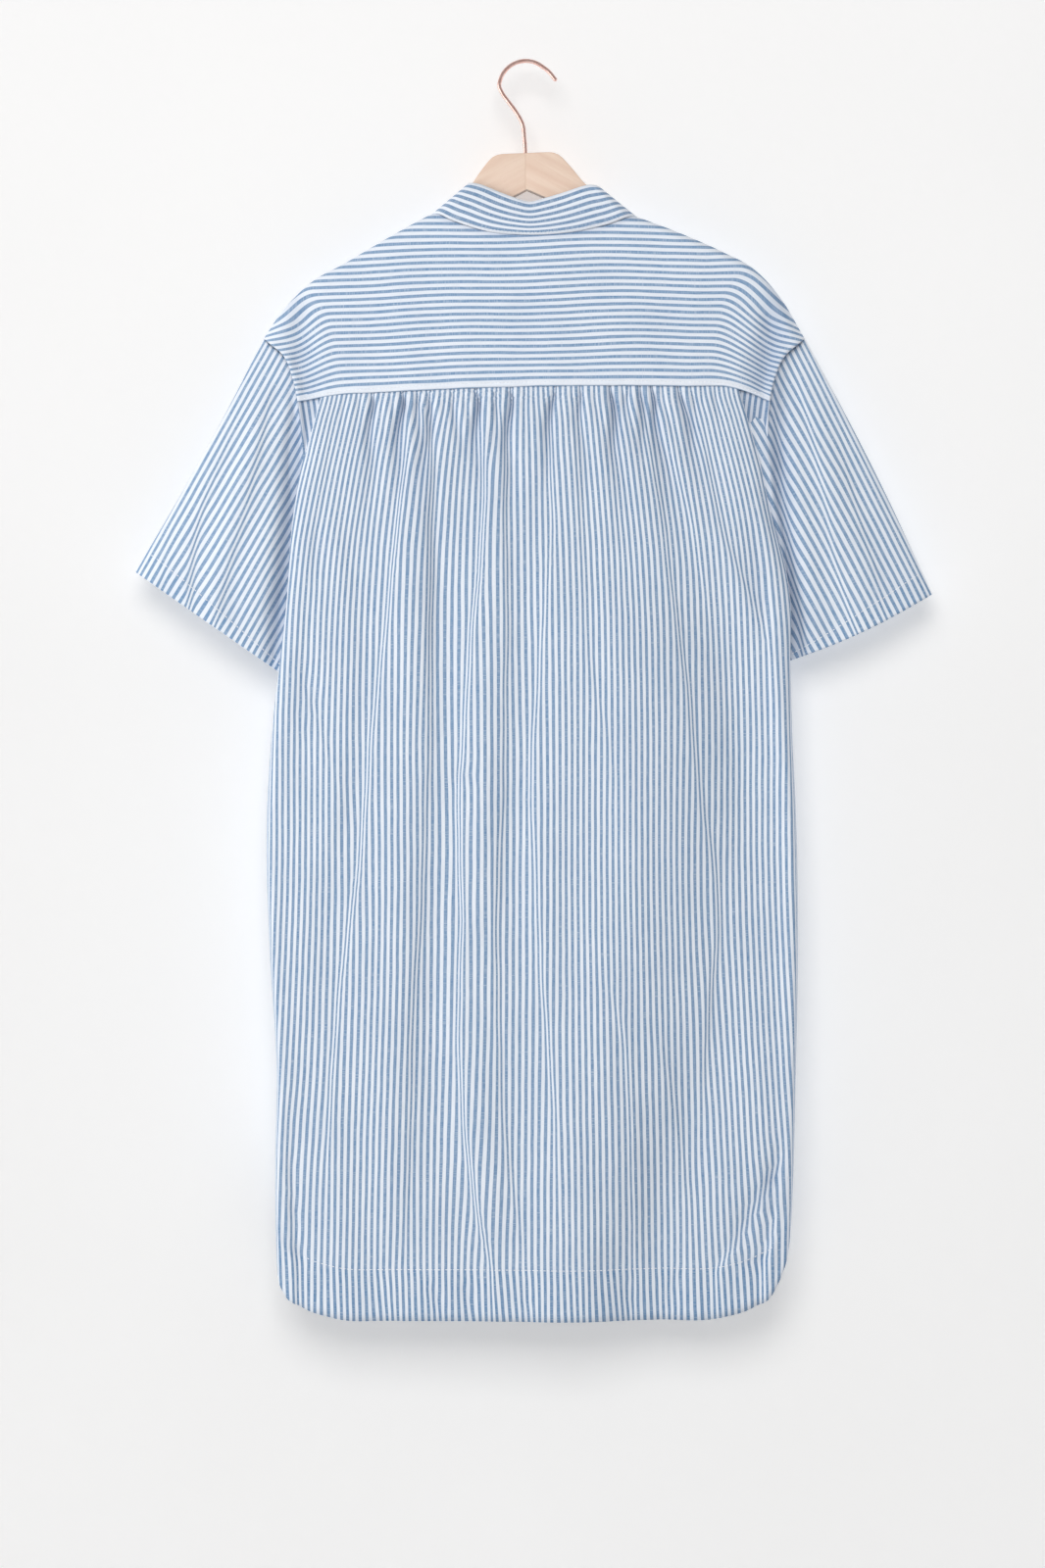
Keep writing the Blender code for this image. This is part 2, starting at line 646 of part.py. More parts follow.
def make_body(stripes, crosswise):
    gathered = [k / (4 * GATHER_COUNT) for k in range(4 * GATHER_COUNT + 1)]
    columns = [0.0, 0.02, 0.045, 0.07] + [0.095 + 0.81 * k for k in gathered] + [0.93, 0.955, 0.98, 1.0]
    rows = [0, 0.02, 0.06, 0.11, 0.17, 0.235, 0.3, 0.37, 0.45, 0.53, 0.62, 0.71, 0.79, 0.87, 0.94, 1]
    cloth("back_panel", back_panel_point, columns, rows, stripes)

    left_shoulder, right_shoulder = [(0.02, 1), (0.311, 12)], [(0.98, 12), (1, 1)]
    behind_neck = [(0.322, 1), (0.345, 1), (0.657, 8), (0.68, 1), (0.691, 1)]
    across = uneven(*left_shoulder, *behind_neck, *right_shoulder)
    up = uneven((YOKE_TURN, BACK_ROWS), (1.0, FRONT_ROWS))
    shoulder = sum(steps for _end, steps in left_shoulder) / (len(across) - 1)
    turn = BACK_ROWS / (BACK_ROWS + FRONT_ROWS)
    cloth("yoke", yoke_point, across, up, crosswise, lambda u, v: shoulder < u < 1 - shoulder and v > turn)

    sides = uneven((0.12, 4), (0.4, 5), (1.0, 8))
    down = [0, 0.03, 0.07, 0.12, 0.18, 0.24, 0.3, 0.36, 0.44, 0.52, 0.6, 0.69, 0.78, 0.87, 0.94, 1]
    for side in ("left", "right"):
        cloth(f"front_{side}", lambda u, v, side=side: front_point(side, u, v), sides, down, stripes)
    cloth("placket", placket_point, uneven((1, 2)), uneven((1, 30)), stripes)


def make_band(crosswise):
    sides = [(0.27, 2), (0.29, 1), (0.30, 1), (0.31, 1), (0.33, 1), (0.36, 1)]
    sides_back = [(0.65, 9), (0.68, 1), (0.70, 1), (0.71, 1), (0.72, 1), (0.74, 1), (0.79, 2)]
    around = uneven((0.04, 2), (0.22, 8), *sides, *sides_back, (0.96, 8), (1, 2))
    cloth("collar_band", band_point, around, uneven((1, 3)), crosswise)


def make_sleeves(stripes):
    round_sleeve = uneven((0.06, 4), (0.44, 9), (0.5, 3), (0.56, 3), (0.94, 9), (1.0, 4))
    for side in SLEEVES:
        cloth(
            f"sleeve_{side}",
            lambda u, v, side=side: sleeve_point(side, u, v),
            round_sleeve,
            uneven((1, 7)),
            stripes,
            tube=True,
        )


def make_button(name, x, z, y, material):
    mesh = bmesh.new()
    size = dict(segments=BUTTON_SIDES, radius1=BUTTON_RADIUS, radius2=BUTTON_RADIUS, depth=BUTTON_THICK)
    bmesh.ops.create_cone(mesh, cap_ends=True, **size)
    face = max(mesh.faces, key=lambda f: f.calc_center_median().z)
    bmesh.ops.inset_region(mesh, faces=[face], thickness=BUTTON_RIM_WIDE)
    bmesh.ops.translate(mesh, vec=(0, 0, -BUTTON_RIM), verts=face.verts)
    turn = Matrix.Rotation(-np.pi / 2, 4, "X")
    place = Matrix.Translation((x, y + BUTTON_THICK / 2, z))
    bmesh.ops.transform(mesh, matrix=place @ turn, verts=mesh.verts)
    finish(name, mesh, material)


def make_buttons(shell):
    seat = WALL + LAP + WALL / 2 + BUTTON_GAP
    for k in range(BUTTON_COUNT):
        z = BUTTON_FIRST - BUTTON_STEP * k
        near = np.array([z - BUTTON_RADIUS, z, z + BUTTON_RADIUS])
        y = front_surface(np.full(3, CENTRE_FRONT), near).max()
        make_button(f"button_{k + 1}", CENTRE_FRONT, z, y + seat, shell)
    y = band_point(np.array([1.0]), np.array([0.5]))[0, 1]
    make_button("button_band", CENTRE_FRONT, BAND_BUTTON, y + WALL / 2 + BUTTON_GAP, shell)


def make_wood(wood):
    """The hanger's body: its outline given a thickness, its edges rounded, and a hole for the hook."""
    right = list(zip(ARM_TOP["x"], ARM_TOP["z"])) + ARM_END
    outline = right + [ARM_NOTCH] + [(-x, z) for x, z in reversed(right)]
    mesh = bmesh.new()
    corners = [mesh.verts.new((x, -WOOD_THICK / 2, z)) for x, z in outline]
    face = mesh.faces.new(corners)
    moved = bmesh.ops.extrude_face_region(mesh, geom=[face])["geom"]
    far = [item for item in moved if isinstance(item, bmesh.types.BMVert)]
    bmesh.ops.translate(mesh, vec=(0, WOOD_THICK, 0), verts=far)
    bmesh.ops.recalc_face_normals(mesh, faces=mesh.faces)
    rims = [edge for edge in mesh.edges if abs(edge.verts[0].co.y - edge.verts[1].co.y) < 0.1]
    arms = [edge for edge in rims if min(abs(vert.co.x) for vert in edge.verts) > ARM_FROM]
    middle = [edge for edge in rims if edge not in arms]
    bevel = dict(offset_type="OFFSET", profile=0.5, affect="EDGES", material=-1, clamp_overlap=True)
    bmesh.ops.bevel(mesh, geom=arms, offset=ARM_ROUND, segments=3, **bevel)
    middle = [edge for edge in middle if edge.is_valid]
    bmesh.ops.bevel(mesh, geom=middle, offset=NECK_ROUND, segments=2, **bevel)
    tilt = Matrix.Translation(WOOD_TOP) @ Matrix.Rotation(-WOOD_TILT, 4, "Y")
    bmesh.ops.transform(mesh, matrix=tilt, verts=mesh.verts)
    body = finish("hanger_body", mesh, wood)

    hole = bmesh.new()
    radius = WIRE_RADIUS + HOLE_PLAY
    bore = dict(segments=12, radius1=radius, radius2=radius, depth=2 * (WIRE_DEPTH + 1))
    bmesh.ops.create_cone(hole, cap_ends=True, **bore)
    bmesh.ops.translate(hole, vec=WOOD_TOP, verts=hole.verts)
    cutter = finish("hook_hole", hole, wood)
    cutter.hide_render = True
    cutter.display_type = "WIRE"
    cut = body.modifiers.new("Hook hole", "BOOLEAN")
    cut.operation = "DIFFERENCE"
    cut.object = cutter


def hook_route():
    """The hook's line: up out of the wood, out to the left, round the loop and down to the tip."""
    start, end = np.radians(HOOK_START), np.radians(HOOK_END)
    steps = 24
    loop = []
    for k in range(steps + 1):
        angle = start + (end - start) * k / steps
        opened = HOOK_OPENED * (1 - k / steps) ** 2
        loop.append((HOOK_RADIUS * np.cos(angle) - opened, HOOK_CENTRE_Z + HOOK_RADIUS * np.sin(angle)))
    loop = [(x, z) for x, z in loop if z > HOOK_CENTRE_Z - HOOK_RADIUS / 2 and (x < 14 or z > -5)]
    foot = [(WOOD_TOP.x, WOOD_TOP.z - WIRE_DEPTH + 0.5), (WOOD_TOP.x, WOOD_TOP.z)]
    return foot + HOOK_STEM + loop + HOOK_TIP


def make_hanger(wood, copper):
    make_wood(wood)
    add_wire("hanger_hook", hook_route(), copper)


def add_wire(name, route, material):
    """A round wire of the hook's thickness, smooth through the route's points."""
    points = np.array(route, float)
    run = np.concatenate([[0], np.cumsum(np.hypot(*np.diff(points, axis=0).T))])
    places = np.linspace(0, run[-1], 60)
    curve = bpy.data.curves.new(name, "CURVE")
    curve.dimensions = "3D"
    curve.bevel_depth = WIRE_RADIUS * MM
    curve.bevel_resolution = 2
    curve.use_fill_caps = True
    spline = curve.splines.new("POLY")
    spline.points.add(len(places) - 1)
    for point, at in zip(spline.points, places):
        x, z = smooth(at, run, points[:, 0]), smooth(at, run, points[:, 1])
        point.co = (x * MM, 0, z * MM, 1)
    curve.materials.append(material)
    obj = bpy.data.objects.new(name, curve)
    bpy.context.scene.collection.objects.link(obj)
    return obj


def main():
    for obj in list(bpy.data.objects):
        bpy.data.objects.remove(obj)
    stripes = make_material("Striped cotton", (0.55, 0.67, 0.80), 0.9)
    crosswise = make_material("Striped cotton, cut crosswise", (0.50, 0.63, 0.78), 0.9)
    wood = make_material("Beech", (0.78, 0.62, 0.47), 0.55)
    copper = make_material("Copper wire", (0.85, 0.50, 0.38), 0.25, 1.0)
    shell = make_material("Button", (0.93, 0.93, 0.90), 0.3)
    make_body(stripes, crosswise)
    make_band(crosswise)
    make_sleeves(stripes)
    make_buttons(shell)
    make_hanger(wood, copper)


main()
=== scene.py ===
"""The looks of a band-collared, striped cotton shirt dress that hangs on a flat wooden hanger.

The back of the dress faces -Y and its front +Y. Left and right are those of somebody who looks at the back.
The origin is the inside top of the hanger's hook. The tables and sizes are in millimetres, and each mesh is
put into metres when it is finished. Cloth coordinates run across the stripes and along them, in metres.
"""

from functools import partial

import bmesh
import bpy
import numpy as np
from mathutils import Matrix, Vector


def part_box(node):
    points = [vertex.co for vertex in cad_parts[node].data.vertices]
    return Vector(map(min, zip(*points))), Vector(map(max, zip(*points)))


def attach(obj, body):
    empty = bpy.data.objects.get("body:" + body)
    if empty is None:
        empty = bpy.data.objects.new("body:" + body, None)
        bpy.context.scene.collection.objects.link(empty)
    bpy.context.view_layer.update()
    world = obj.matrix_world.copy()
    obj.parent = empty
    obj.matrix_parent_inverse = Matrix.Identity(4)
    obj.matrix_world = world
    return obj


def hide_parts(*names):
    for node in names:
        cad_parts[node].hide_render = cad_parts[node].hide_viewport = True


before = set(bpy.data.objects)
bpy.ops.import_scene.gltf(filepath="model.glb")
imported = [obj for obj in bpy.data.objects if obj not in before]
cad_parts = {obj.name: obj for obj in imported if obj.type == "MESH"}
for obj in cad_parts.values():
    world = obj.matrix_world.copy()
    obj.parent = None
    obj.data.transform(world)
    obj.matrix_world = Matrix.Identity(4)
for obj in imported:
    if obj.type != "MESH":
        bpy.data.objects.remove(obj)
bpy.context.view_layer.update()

MM = 0.001

# Cloth
THIN = 0.5  # thickness of the cotton
SHADE_FULL_DEPTH = 5.0  # the depth of a narrow crease at which the painted shade at its bottom is full
PANEL_COLUMNS = 491
PANEL_HEIGHT = 893.0
YOKE_ROWS = (64, 30)  # of faces, up the back and down the front
LAP = 0.8  # between the middles of two layers that lie on each other
BACK, FRONT = -1.0, 1.0  # the side of the middle plane on which a layer lies
UNDER_YOKE, UNDER_FRONT_YOKE = 2.5, 2.0  # how far the panels reach up behind the yoke
HEM_STANDS = 0.35  # how far a hem's doubled cloth stands out
SLACKS = {"body": 0.8, "yoke": 0.35, "sleeve": 0.7}  # how uneven each hangs
FRONT_FULLNESS = 1.03  # how much cloth lies in each mm of the front's width
MIDDLE = -9.0  # x of the middle line, from which the stripes are counted
STRIPE = 6.3  # from one blue stripe to the next
STRIPE_BLUR = 0.038  # half the width of a stripe's soft edge, as a share of the repeat
CREASE_PAINTED_SHADE = (0.70, 0.73, 0.79, 1)  # painted shade: the colour of the cloth at the bottom of a deep crease, as a share of its own
YOKE_EDGE = 5.3  # the plain white strip at the yoke's folded edge
PLACKET_CUT = 400.0  # how far from the middle of the cloth the button band is cut
HEM_DEPTH = 49.0
HEM_WIDTH = 560.0  # from seam to seam
HEM_LEFT_LATER = 9.0  # how much farther in the back hem's left corner lies than the right one
HEM_EDGE = 3.0  # the width of the change from single to doubled cloth
CUFF_HEM = 22.5
CUFF_DOUBLED = CUFF_HEM / 270.0  # the share of the sleeve on which its hem doubles the cloth

# Sewing
STITCH = 2.7
STITCH_GAP = 0.9
STITCH_LOOK = 0.3  # how far to each side a stitch looks for its direction
STITCH_RISE = 0.5  # above the middle of the cloth
THREAD = 0.36
THREAD_SIDES = 5
YOKE_STITCH_SHARE = 0.012
BAND_STITCH_SHARE = 0.05
PLACKET_STITCH_SHARES = (0.13, 0.87)
BACK_HEM_SEWN = (0.112, 0.935)  # the shares of the width between which the stitches show
HOLE_LENGTH = 15.0

# Body
JOIN = -335.0  # the height above which it narrows to the shoulders
UNDERARM = -522.0
LOWEST = -1212.0
TUCK_TURNS = 8.0  # the depth of tuck at which the body's edge turns in fully
UNDERARM_BLEND = 60.0
SEAM_CALM = 0.06  # the share of the width, at each side, over which the folds fade out
UPPER_CROWN = 0.25  # how much of its depth it loses from the middle to the sides
UPPER_HALF_WIDTH = 215.0

# Neck, band and button band
NECK_LEFT, NECK_RIGHT = -91.0, 107.0
NECK_SHOULDERS = (0.30, 0.71)  # the shares of the neck seam at which the shoulder lines meet it
NECK_CORNERS = (0.22, 0.79)  # and at which the seams between yoke and fronts do
CENTRE_FRONT = 7.0
BAND_LENGTH = 440.0
BAND_SHIFT = -1.1  # of the band's stripes
BAND_BELLY = 3.0
BAND_HEIGHT = 40.0
BAND_WIDTH = 30.0
BAND_SEAM = 4.0  # of the right front, under the button band
UNDERLAP = 13.0  # of the left front, past the centre front
HOLE_OUT = 1.9  # from the middle of a button to each of its four holes
HOLE_RADIUS = 0.75
BUTTON_FIRST, BUTTON_STEP, BUTTON_COUNT = -240.0, 94.0, 9
BUTTONS = {f"button_{k + 1}": BUTTON_FIRST - BUTTON_STEP * k for k in range(BUTTON_COUNT)}  # their heights
BUTTONS["button_band"] = -199.0
BUTTON_PROFILE = [  # from the middle of its face round the rim to the middle of its back: radius, height
    (0, 1.1), (2.9, 1.1), (3.7, 1.5), (4.3, 2.2), (4.8, 2.4),
    (5.3, 2.2), (5.6, 1.5), (5.4, 0.6), (4.6, 0.1), (0, 0),
]

# Shoulders
FRONT_YOKE_CORNER = {"left": (-237.0, -83.0), "right": (252.0, 99.0)}
SHOULDER_ROUND = 8.0  # the distance below the shoulder line over which the cloth rounds over
SHOULDER_DEPTH = 8.4
YOKE_TURN = 0.6  # the share of the yoke that is its back
EDGE_SHARE = 0.12  # the share of the width over which the cloth comes to the armhole
YOKE_CALM = 25.0  # the distance below the shoulder line over which creases grow
YOKE_FOLD = 7.0  # the strip at the folded edge that lies in a little
NECK_SHADE = 9.0  # the width of the strip of painted shade on the yoke below the band
NECK_BLEND = 12.0
DROOP_RISE = 75.0  # the height above the seam up to which the stripes droop more and more
DROOP = {"left": (0.33, 44.0), "right": (0.42, 60.0)}  # of the yoke's stripes: how steep, and how far in

# Sleeves
SLEEVE_LENGTH = 262.0  # from armhole to cuff
CUFF_DEPTH = 11.0  # from the middle plane to each layer
SLEEVE_BELLY = 5.5
SLEEVE_SEAM = 1.0  # of the sleeve, under the armhole's edge
SLEEVE_UNDER = 0.3

# Hanger
WOOD_THICK = 11.0
OUTLINE_STEPS = 44
NECK_ROUND = 1.1
WOOD_TILT = np.radians(2.3)
WOOD_TOP = Vector((-1.0, 0.0, -88.0))
WIRE_RADIUS = 2.0
WIRE_DEPTH = 17.0
HOOK_CENTRE_Z = -22.3
HOOK_RADIUS = 24.3
HOOK_START, HOOK_END = 206.0, -14.0
HOOK_OPENED = 2.5
HOOK_STEPS = 24
HOOK_LOW = 3.0  # how far below its centre the round part starts
HOOK_OUT = (14.0, -5.0)  # x and z, beyond and below which the tip's own points follow
HOOK_STEM = [(-2.0, -72.0), (-3.5, -60.0), (-10.0, -47.5), (-17.0, -38.0), (-22.8, -30.0)]  # x, z
HOOK_TIP = [(20.0, -7.0), (29.0, -17.5)]

# Room, camera and lamps, in metres
WALL_Y = 0.039
WALL_GLOW = 0.235
FLOOR_Z = -2.2
CAMERA_PLACE = (-0.0038, -2.94, -0.6953)
CAMERA_LENS, CAMERA_SENSOR = 70.0, 36.0  # in millimetres
SKY = (0.98, 0.985, 1.0, 1)
SKY_STRENGTH = 0.30
LIT_SPOT = (0, 0, -0.65)  # at which every lamp is aimed
WHITE = (1, 1, 1)
LAMPS = [  # name, power, place, width, height, colour
    ("key", 42, (-0.3, -2.8, 0.75), 1.7, 1.7, (1.0, 0.995, 0.985)),
    ("window", 32, (-2.1, -1.3, -0.6), 1.4, 2.2, WHITE),
    ("behind left", 20, (-1.8, 2.6, 0.9), 1.8, 1.8, WHITE),
    ("behind right", 14, (2.0, 2.4, 0.0), 1.8, 1.8, WHITE),
    ("fill", 8, (2.3, -0.7, -0.7), 1.4, 2.0, WHITE),
]
UNLIT = [  # pieces that some lamps leave dark: a label, the piece, the lamps
    ("not lit from the sides", "wall", ("window", "fill")),
    ("not lit from the front", "hanger_wire", ("key",)),
]


def table(columns, rows):
    """The named columns of a short table."""
    return dict(zip(columns.split(), np.array(rows, float).T))


FULLNESS = table("z full", [  # how much cloth lies in each mm of the back's width
    (-1212, 1.06), (-1045, 1.08), (-928, 1.11), (-800, 1.135), (-600, 1.145), (-520, 1.165), (-460, 1.20),
    (-400, 1.27), (-345, 1.36), (-318, 1.41), (-296, 1.42),
])
EDGE_ROUND = table("z corner", [  # how round the edges of the body are
    (-1212, 5), (-900, 6), (-700, 8), (-560, 13), (-296, 14),
])
BODY = table("z left_fold left_seam right_fold right_seam left_y right_y back front crown", [
    (-290, -190, -231, 193, 247, 0, 0, 13, 13, 0.25),
    (-328, -200, -220, 207, 234, 0, 0, 15, 14, 0.25),
    (-375, -213.5, -215, 220, 233, 0, 0, 18, 16, 0.22),
    (-423, -222, -213, 233, 236, 0, 0, 20, 18, 0.18),
    (-461, -226.5, -214, 244, 243, 0, 0, 22, 19, 0.16),
    (-522, -230, -220, 253.5, 247, 0, 0, 24, 21, 0.14),
    (-575, -236, -226, 253, 246, 0, 0, 26, 22, 0.13),
    (-640, -243.5, -238, 255, 252, 0, 0, 28, 24, 0.12),
    (-720, -249.5, -249, 259, 258.5, 0, 0, 29, 26, 0.12),
    (-853, -247, -247, 261, 261, 0, 0, 31, 28, 0.12),
    (-975, -240, -240, 258.5, 258.5, 2, -4, 33, 30, 0.11),
    (-1060, -241.5, -241.5, 256, 255, 4, -9, 34, 31, 0.10),
    (-1212, -239, -237, 248, 243, 6, -12, 36, 33, 0.10),
])
ARMHOLE = table("z left right y", [
    (-266, -253, 268, 0), (-270, -249, 264, 6.5), (-280, -237, 252, 8.6), (-305, -225, 239, 9.3),
    (-328, -220, 234, 9.5), (-375, -215, 233, 7), (-423, -213, 236, 5), (-461, -214, 243, 4),
    (-500, -217.5, 246, 3), (-522, -220, 247, 0),
])
SHOULDER = table("x z", [
    (-253, -266), (-237, -242), (-223, -226), (-210, -214), (-174, -193), (-129, -166.5), (-91, -146),
    (0, -118), (107, -149), (153, -166.5), (191, -183.5), (217, -197.5), (229, -208), (247, -230),
    (268, -266),
])
YOKE_SEAM = table("x z", [
    (-220, -328), (-185, -322), (-130, -319), (0, -314), (150, -313.5), (196, -314.5), (215, -319.5),
    (234, -328),
])
FRONT_YOKE_SEAM = table("x z", [
    (-237, -280), (-200, -244), (-150, -214), (-83, -178), (99, -181), (150, -200), (200, -223),
    (252, -280),
])
NECK = table("along x z", [
    (0.00, 7, -216), (0.04, -10, -216), (0.12, -44, -205), (0.22, -83, -178), (0.30, -91, -146),
    (0.36, -68, -155), (0.43, -36, -164.5), (0.50, 3, -167.5), (0.57, 42, -165), (0.64, 76, -158),
    (0.71, 107, -149), (0.79, 99, -181), (0.89, 58, -205), (0.96, 24, -216), (1.00, 7, -216),
])
BAND_TOP = table("along x y z", [
    (0.00, 7, 12.5, -184), (0.04, -6, 12.5, -182), (0.12, -32, 12, -166), (0.22, -54, 10.5, -139),
    (0.27, -58, 9, -124), (0.30, -57.5, 0, -118), (0.33, -53, -9, -117.5), (0.36, -46, -9.5, -118.5),
    (0.43, -22, -9.5, -127.8), (0.47, -8, -9.5, -132.8), (0.50, 3, -9.5, -135.5), (0.53, 15, -9.5, -132.8),
    (0.57, 32, -9.5, -127.8), (0.64, 59, -9.5, -119.5), (0.68, 67, -9, -120), (0.71, 71, 0, -120.5),
    (0.74, 70, 9, -126), (0.79, 67, 10.5, -141), (0.89, 45, 12, -166), (0.96, 20, 12.5, -182),
    (1.00, 7, 12.5, -184),
])
HEM = table("along back front", [
    (0, -1028, -1026), (10, -1098, -1066), (20, -1144, -1104), (34, -1181, -1140), (52, -1194, -1163),
    (84, -1204.5, -1180), (150, -1207, -1187),
])
SLEEVES = {
    "left": dict(out=-1.0, outer=(-377, -491), inner=(-232, -592), edge_bow=-3.5, cuff_bow=0.0),
    "right": dict(out=1.0, outer=(391, -512.5), inner=(249.5, -578), edge_bow=3.5, cuff_bow=5.0),
}
ARM_TOP = table("x z", [
    (22, 0.3), (28, -0.6), (33, -3.2), (38, -8.5), (45, -17), (54, -29), (66, -41), (84, -57), (105, -68.5),
    (130, -78.5), (152, -87.5), (174, -99.5), (191, -109), (209, -119.5),
])
SLEEVE_REACH = table("z over", [  # how far the right sleeve's back lies over the body
    (-522, 0), (-500, 0), (-461, 2), (-423, 7), (-381, 14), (-354, 21), (-332, 3), (-322, 0), (-266, 0),
])
ARM_END = [(213.0, -127.0), (207.0, -134.5)]
ARM_NOTCH = (0.0, -35.0)

# Long folds: the cloth that each hides in a narrow pinch, the height and width of the soft step beside it,
# the heights between which it shows, and where it runs at each of FOLD_HEIGHTS. A step above 0 falls to the
# right.
FOLD_HEIGHTS = (-318, -345, -458, -575, -693, -810, -928, -1045, -1160)
FOLD_COLUMNS = "hides step wide top end x0 x1 x2 x3 x4 x5 x6 x7 x8"
FOLD_GROWTH = 70.0  # the distance over which a fold grows to its full depth
FOLD_FADE = 170.0
FOLD_WANDER = ((0.9, 31.0, 2.3), (0.5, 12.7, 4.1))  # waves of its run: how far, how long, and how they start
FOLD_UNEVEN = {"hides": (0.18, 47.0, 1.7), "step": (0.12, 61.0, 0.9)}  # and of its depth, as a share of it
PINCH_WIDE = 3.6
PINCH_DEPTH = 0.06  # of the pinch's own relief, as a share of the cloth that it hides
SPARED = 17.0  # the distance over which the cloth beside a pinch makes up for what it hides
BACK_FOLDS = table(FOLD_COLUMNS, [
    (3.0, 0.5, 9, -322, -640, -182, -187, -206, -232, -236, -236, -236, -236, -236),
    (2.0, 0.4, 9, -322, -560, -148, -146, -165, -185, -190, -190, -190, -190, -190),
    (0.0, 0.8, 9, -380, -860, -185, -185, -178, -160, -172, -190, -196, -200, -200),
    (9.0, -1.4, 19, -325, -1110, -118, -116, -124, -139, -152, -165, -183, -188, -190),
    (6.0, 2.2, 17, -310, -1190, -108, -97, -91, -92, -94, -101, -109, -112, -114),
    (5.0, 1.2, 6, -296, -660, -112, -99, -94, -94, -96, -96, -96, -96, -96),
    (4.0, 0.7, 6, -296, -560, -30, -24, -20, -19, -19, -19, -19, -19, -19),
    (11.0, -1.1, 17, -325, -1250, -50, -44, -43, -54, -64, -62.5, -64, -57, -32),
    (6.0, 1.5, 15, -310, -1190, -25, -23, -20, -19, -22, -28, -27, -18, 0),
    (6.5, -1.0, 16, -325, -1140, 28, 23.5, 25, 12.7, 4.7, 10, 19.7, 28, 28),
    (3.0, 0.6, 10, -325, -750, 50, 50, 52, 61, 84, 88, 88, 88, 88),
    (2.0, 0.4, 9, -322, -540, 80, 80, 90, 96, 96, 96, 96, 96, 96),
    (7.0, 0.5, 9, -325, -1060, 111, 114, 132.5, 149.5, 165, 183, 173.5, 164, 164),
    (0.0, 2.2, 27, -310, -1400, 112, 118, 136, 164, 190, 198, 174, 126, 90),
    (0.0, 7.0, 50, -480, -1500, 130, 130, 130, 140, 152, 146, 124, 104, 86),
    (4.0, -0.8, 9, -325, -590, 129, 133, 160, 181, 186, 186, 186, 186, 186),
    (5.0, 0.9, 9, -328, -640, 157, 166, 190, 236, 240, 240, 240, 240, 240),
    (4.0, -0.5, 11, -860, -1290, 59, 59, 59, 59, 59, 59, 90, 99.6, 102),
    (3.0, 0.4, 10, -900, -1180, 131, 131, 131, 131, 131, 131, 131, 148, 165),
    (7.0, -2.0, 7, -1000, -1250, 380, 380, 380, 380, 380, 380, 318, 253, 182),
    (2.0, 0.9, 9, -545, -760, -400, -400, -340, -231, -180, -150, -150, -150, -150),
    (5.0, 0.9, 6, -960, -1330, -236, -236, -236, -236, -236, -236, -236, -232, -219),
    (4.5, -1.2, 5, -1005, -1300, 262, 262, 262, 262, 262, 262, 260, 250, 226),
])
FRONT_FOLDS = table(FOLD_COLUMNS, [
    (3.0, 0.8, 10, -322, -900, -145, -148, -160, -172, -180, -184, -184, -184, -184),
    (7.0, -2.0, 14, -330, -1190, -94, -92, -90, -98, -108, -112, -104, -98, -98),
    (4.0, 1.8, 13, -400, -1290, -42, -42, -44, -50, -52, -46, -44, -50, -56),
    (6.0, -1.8, 12, -330, -1290, 64, 62, 60, 54, 56, 64, 66, 60, 56),
    (7.0, 2.4, 15, -330, -1150, 110, 112, 118, 126, 128, 120, 118, 122, 122),
    (3.0, 0.7, 11, -322, -860, 160, 164, 176, 188, 196, 200, 200, 200, 200),
    (2.0, 1.2, 18, -600, -1290, -135, -135, -135, -135, -138, -140, -138, -132, -128),
    (2.0, -0.9, 12, -640, -1290, 32, 32, 32, 32, 34, 36, 34, 30, 30),
])

# Gathers of the back panel at the yoke seam: where, how much cloth each hides, how far down it is felt, and
# how far it leans to the right on its way down 100 mm.
GATHERS = table("x hides length lean", [
    (-196, 1.6, 34, -12), (-182, 2.0, 60, -12), (-172, 1.6, 40, -11), (-160, 2.0, 40, -9),
    (-147.5, 8.0, 70, -9), (-139, 2.0, 40, -7), (-129, 2.0, 34, -5), (-118.5, 10.5, 84, -1),
    (-103.5, 5.0, 120, 12), (-93, 6.0, 100, 4), (-81, 2.0, 44, 2), (-70.5, 5.0, 60, 4), (-60, 2.0, 40, 4),
    (-48, 9.5, 80, 4), (-38, 1.8, 40, 1), (-28, 5.0, 64, 0), (-15, 9.0, 84, -5), (-1, 2.4, 46, -1),
    (8, 1.8, 36, 1), (18, 2.4, 46, 1), (28, 8.0, 78, -4), (36, 2.0, 40, -1), (44, 2.4, 50, 0),
    (51.5, 6.5, 70, 0), (66, 2.0, 46, 4), (80, 9.5, 84, 5), (92, 3.0, 54, 7), (99, 4.0, 50, 8),
    (109, 7.0, 74, 12), (119.5, 9.0, 90, 15), (129, 3.0, 64, 16), (145.5, 8.0, 64, 18), (157, 4.0, 60, 20),
    (168.5, 2.0, 40, 18), (181.5, 2.4, 36, 15), (196, 1.6, 30, 10),
])
GATHER_LEANS = 9.0  # how unevenly the gathers lean
GATHER_SWAY = 2.0
GATHER_DEEP = 0.85  # for each mm of cloth that it hides
GATHER_WIDE = 1.25
GATHER_SPREAD = 24.0  # the distance below the seam at which a gather is twice as wide
GATHER_RISE = 12.0  # the distance below the seam over which a gather grows to its full depth
IN_FRONT = -50.0  # how far behind a tuck's edge the cloth lies where there is no tuck
TUCK_FULLNESS = 1.12
ARMHOLE_TUCKS = table("out x0 z0 x1 z1 deep slant", [  # where the panel's gathered corners fold under
    (-1, -197, -322, -214, -384, 3.4, 0.15),
    (1, 203, -313, 222, -376, 3.6, 0.12),
])

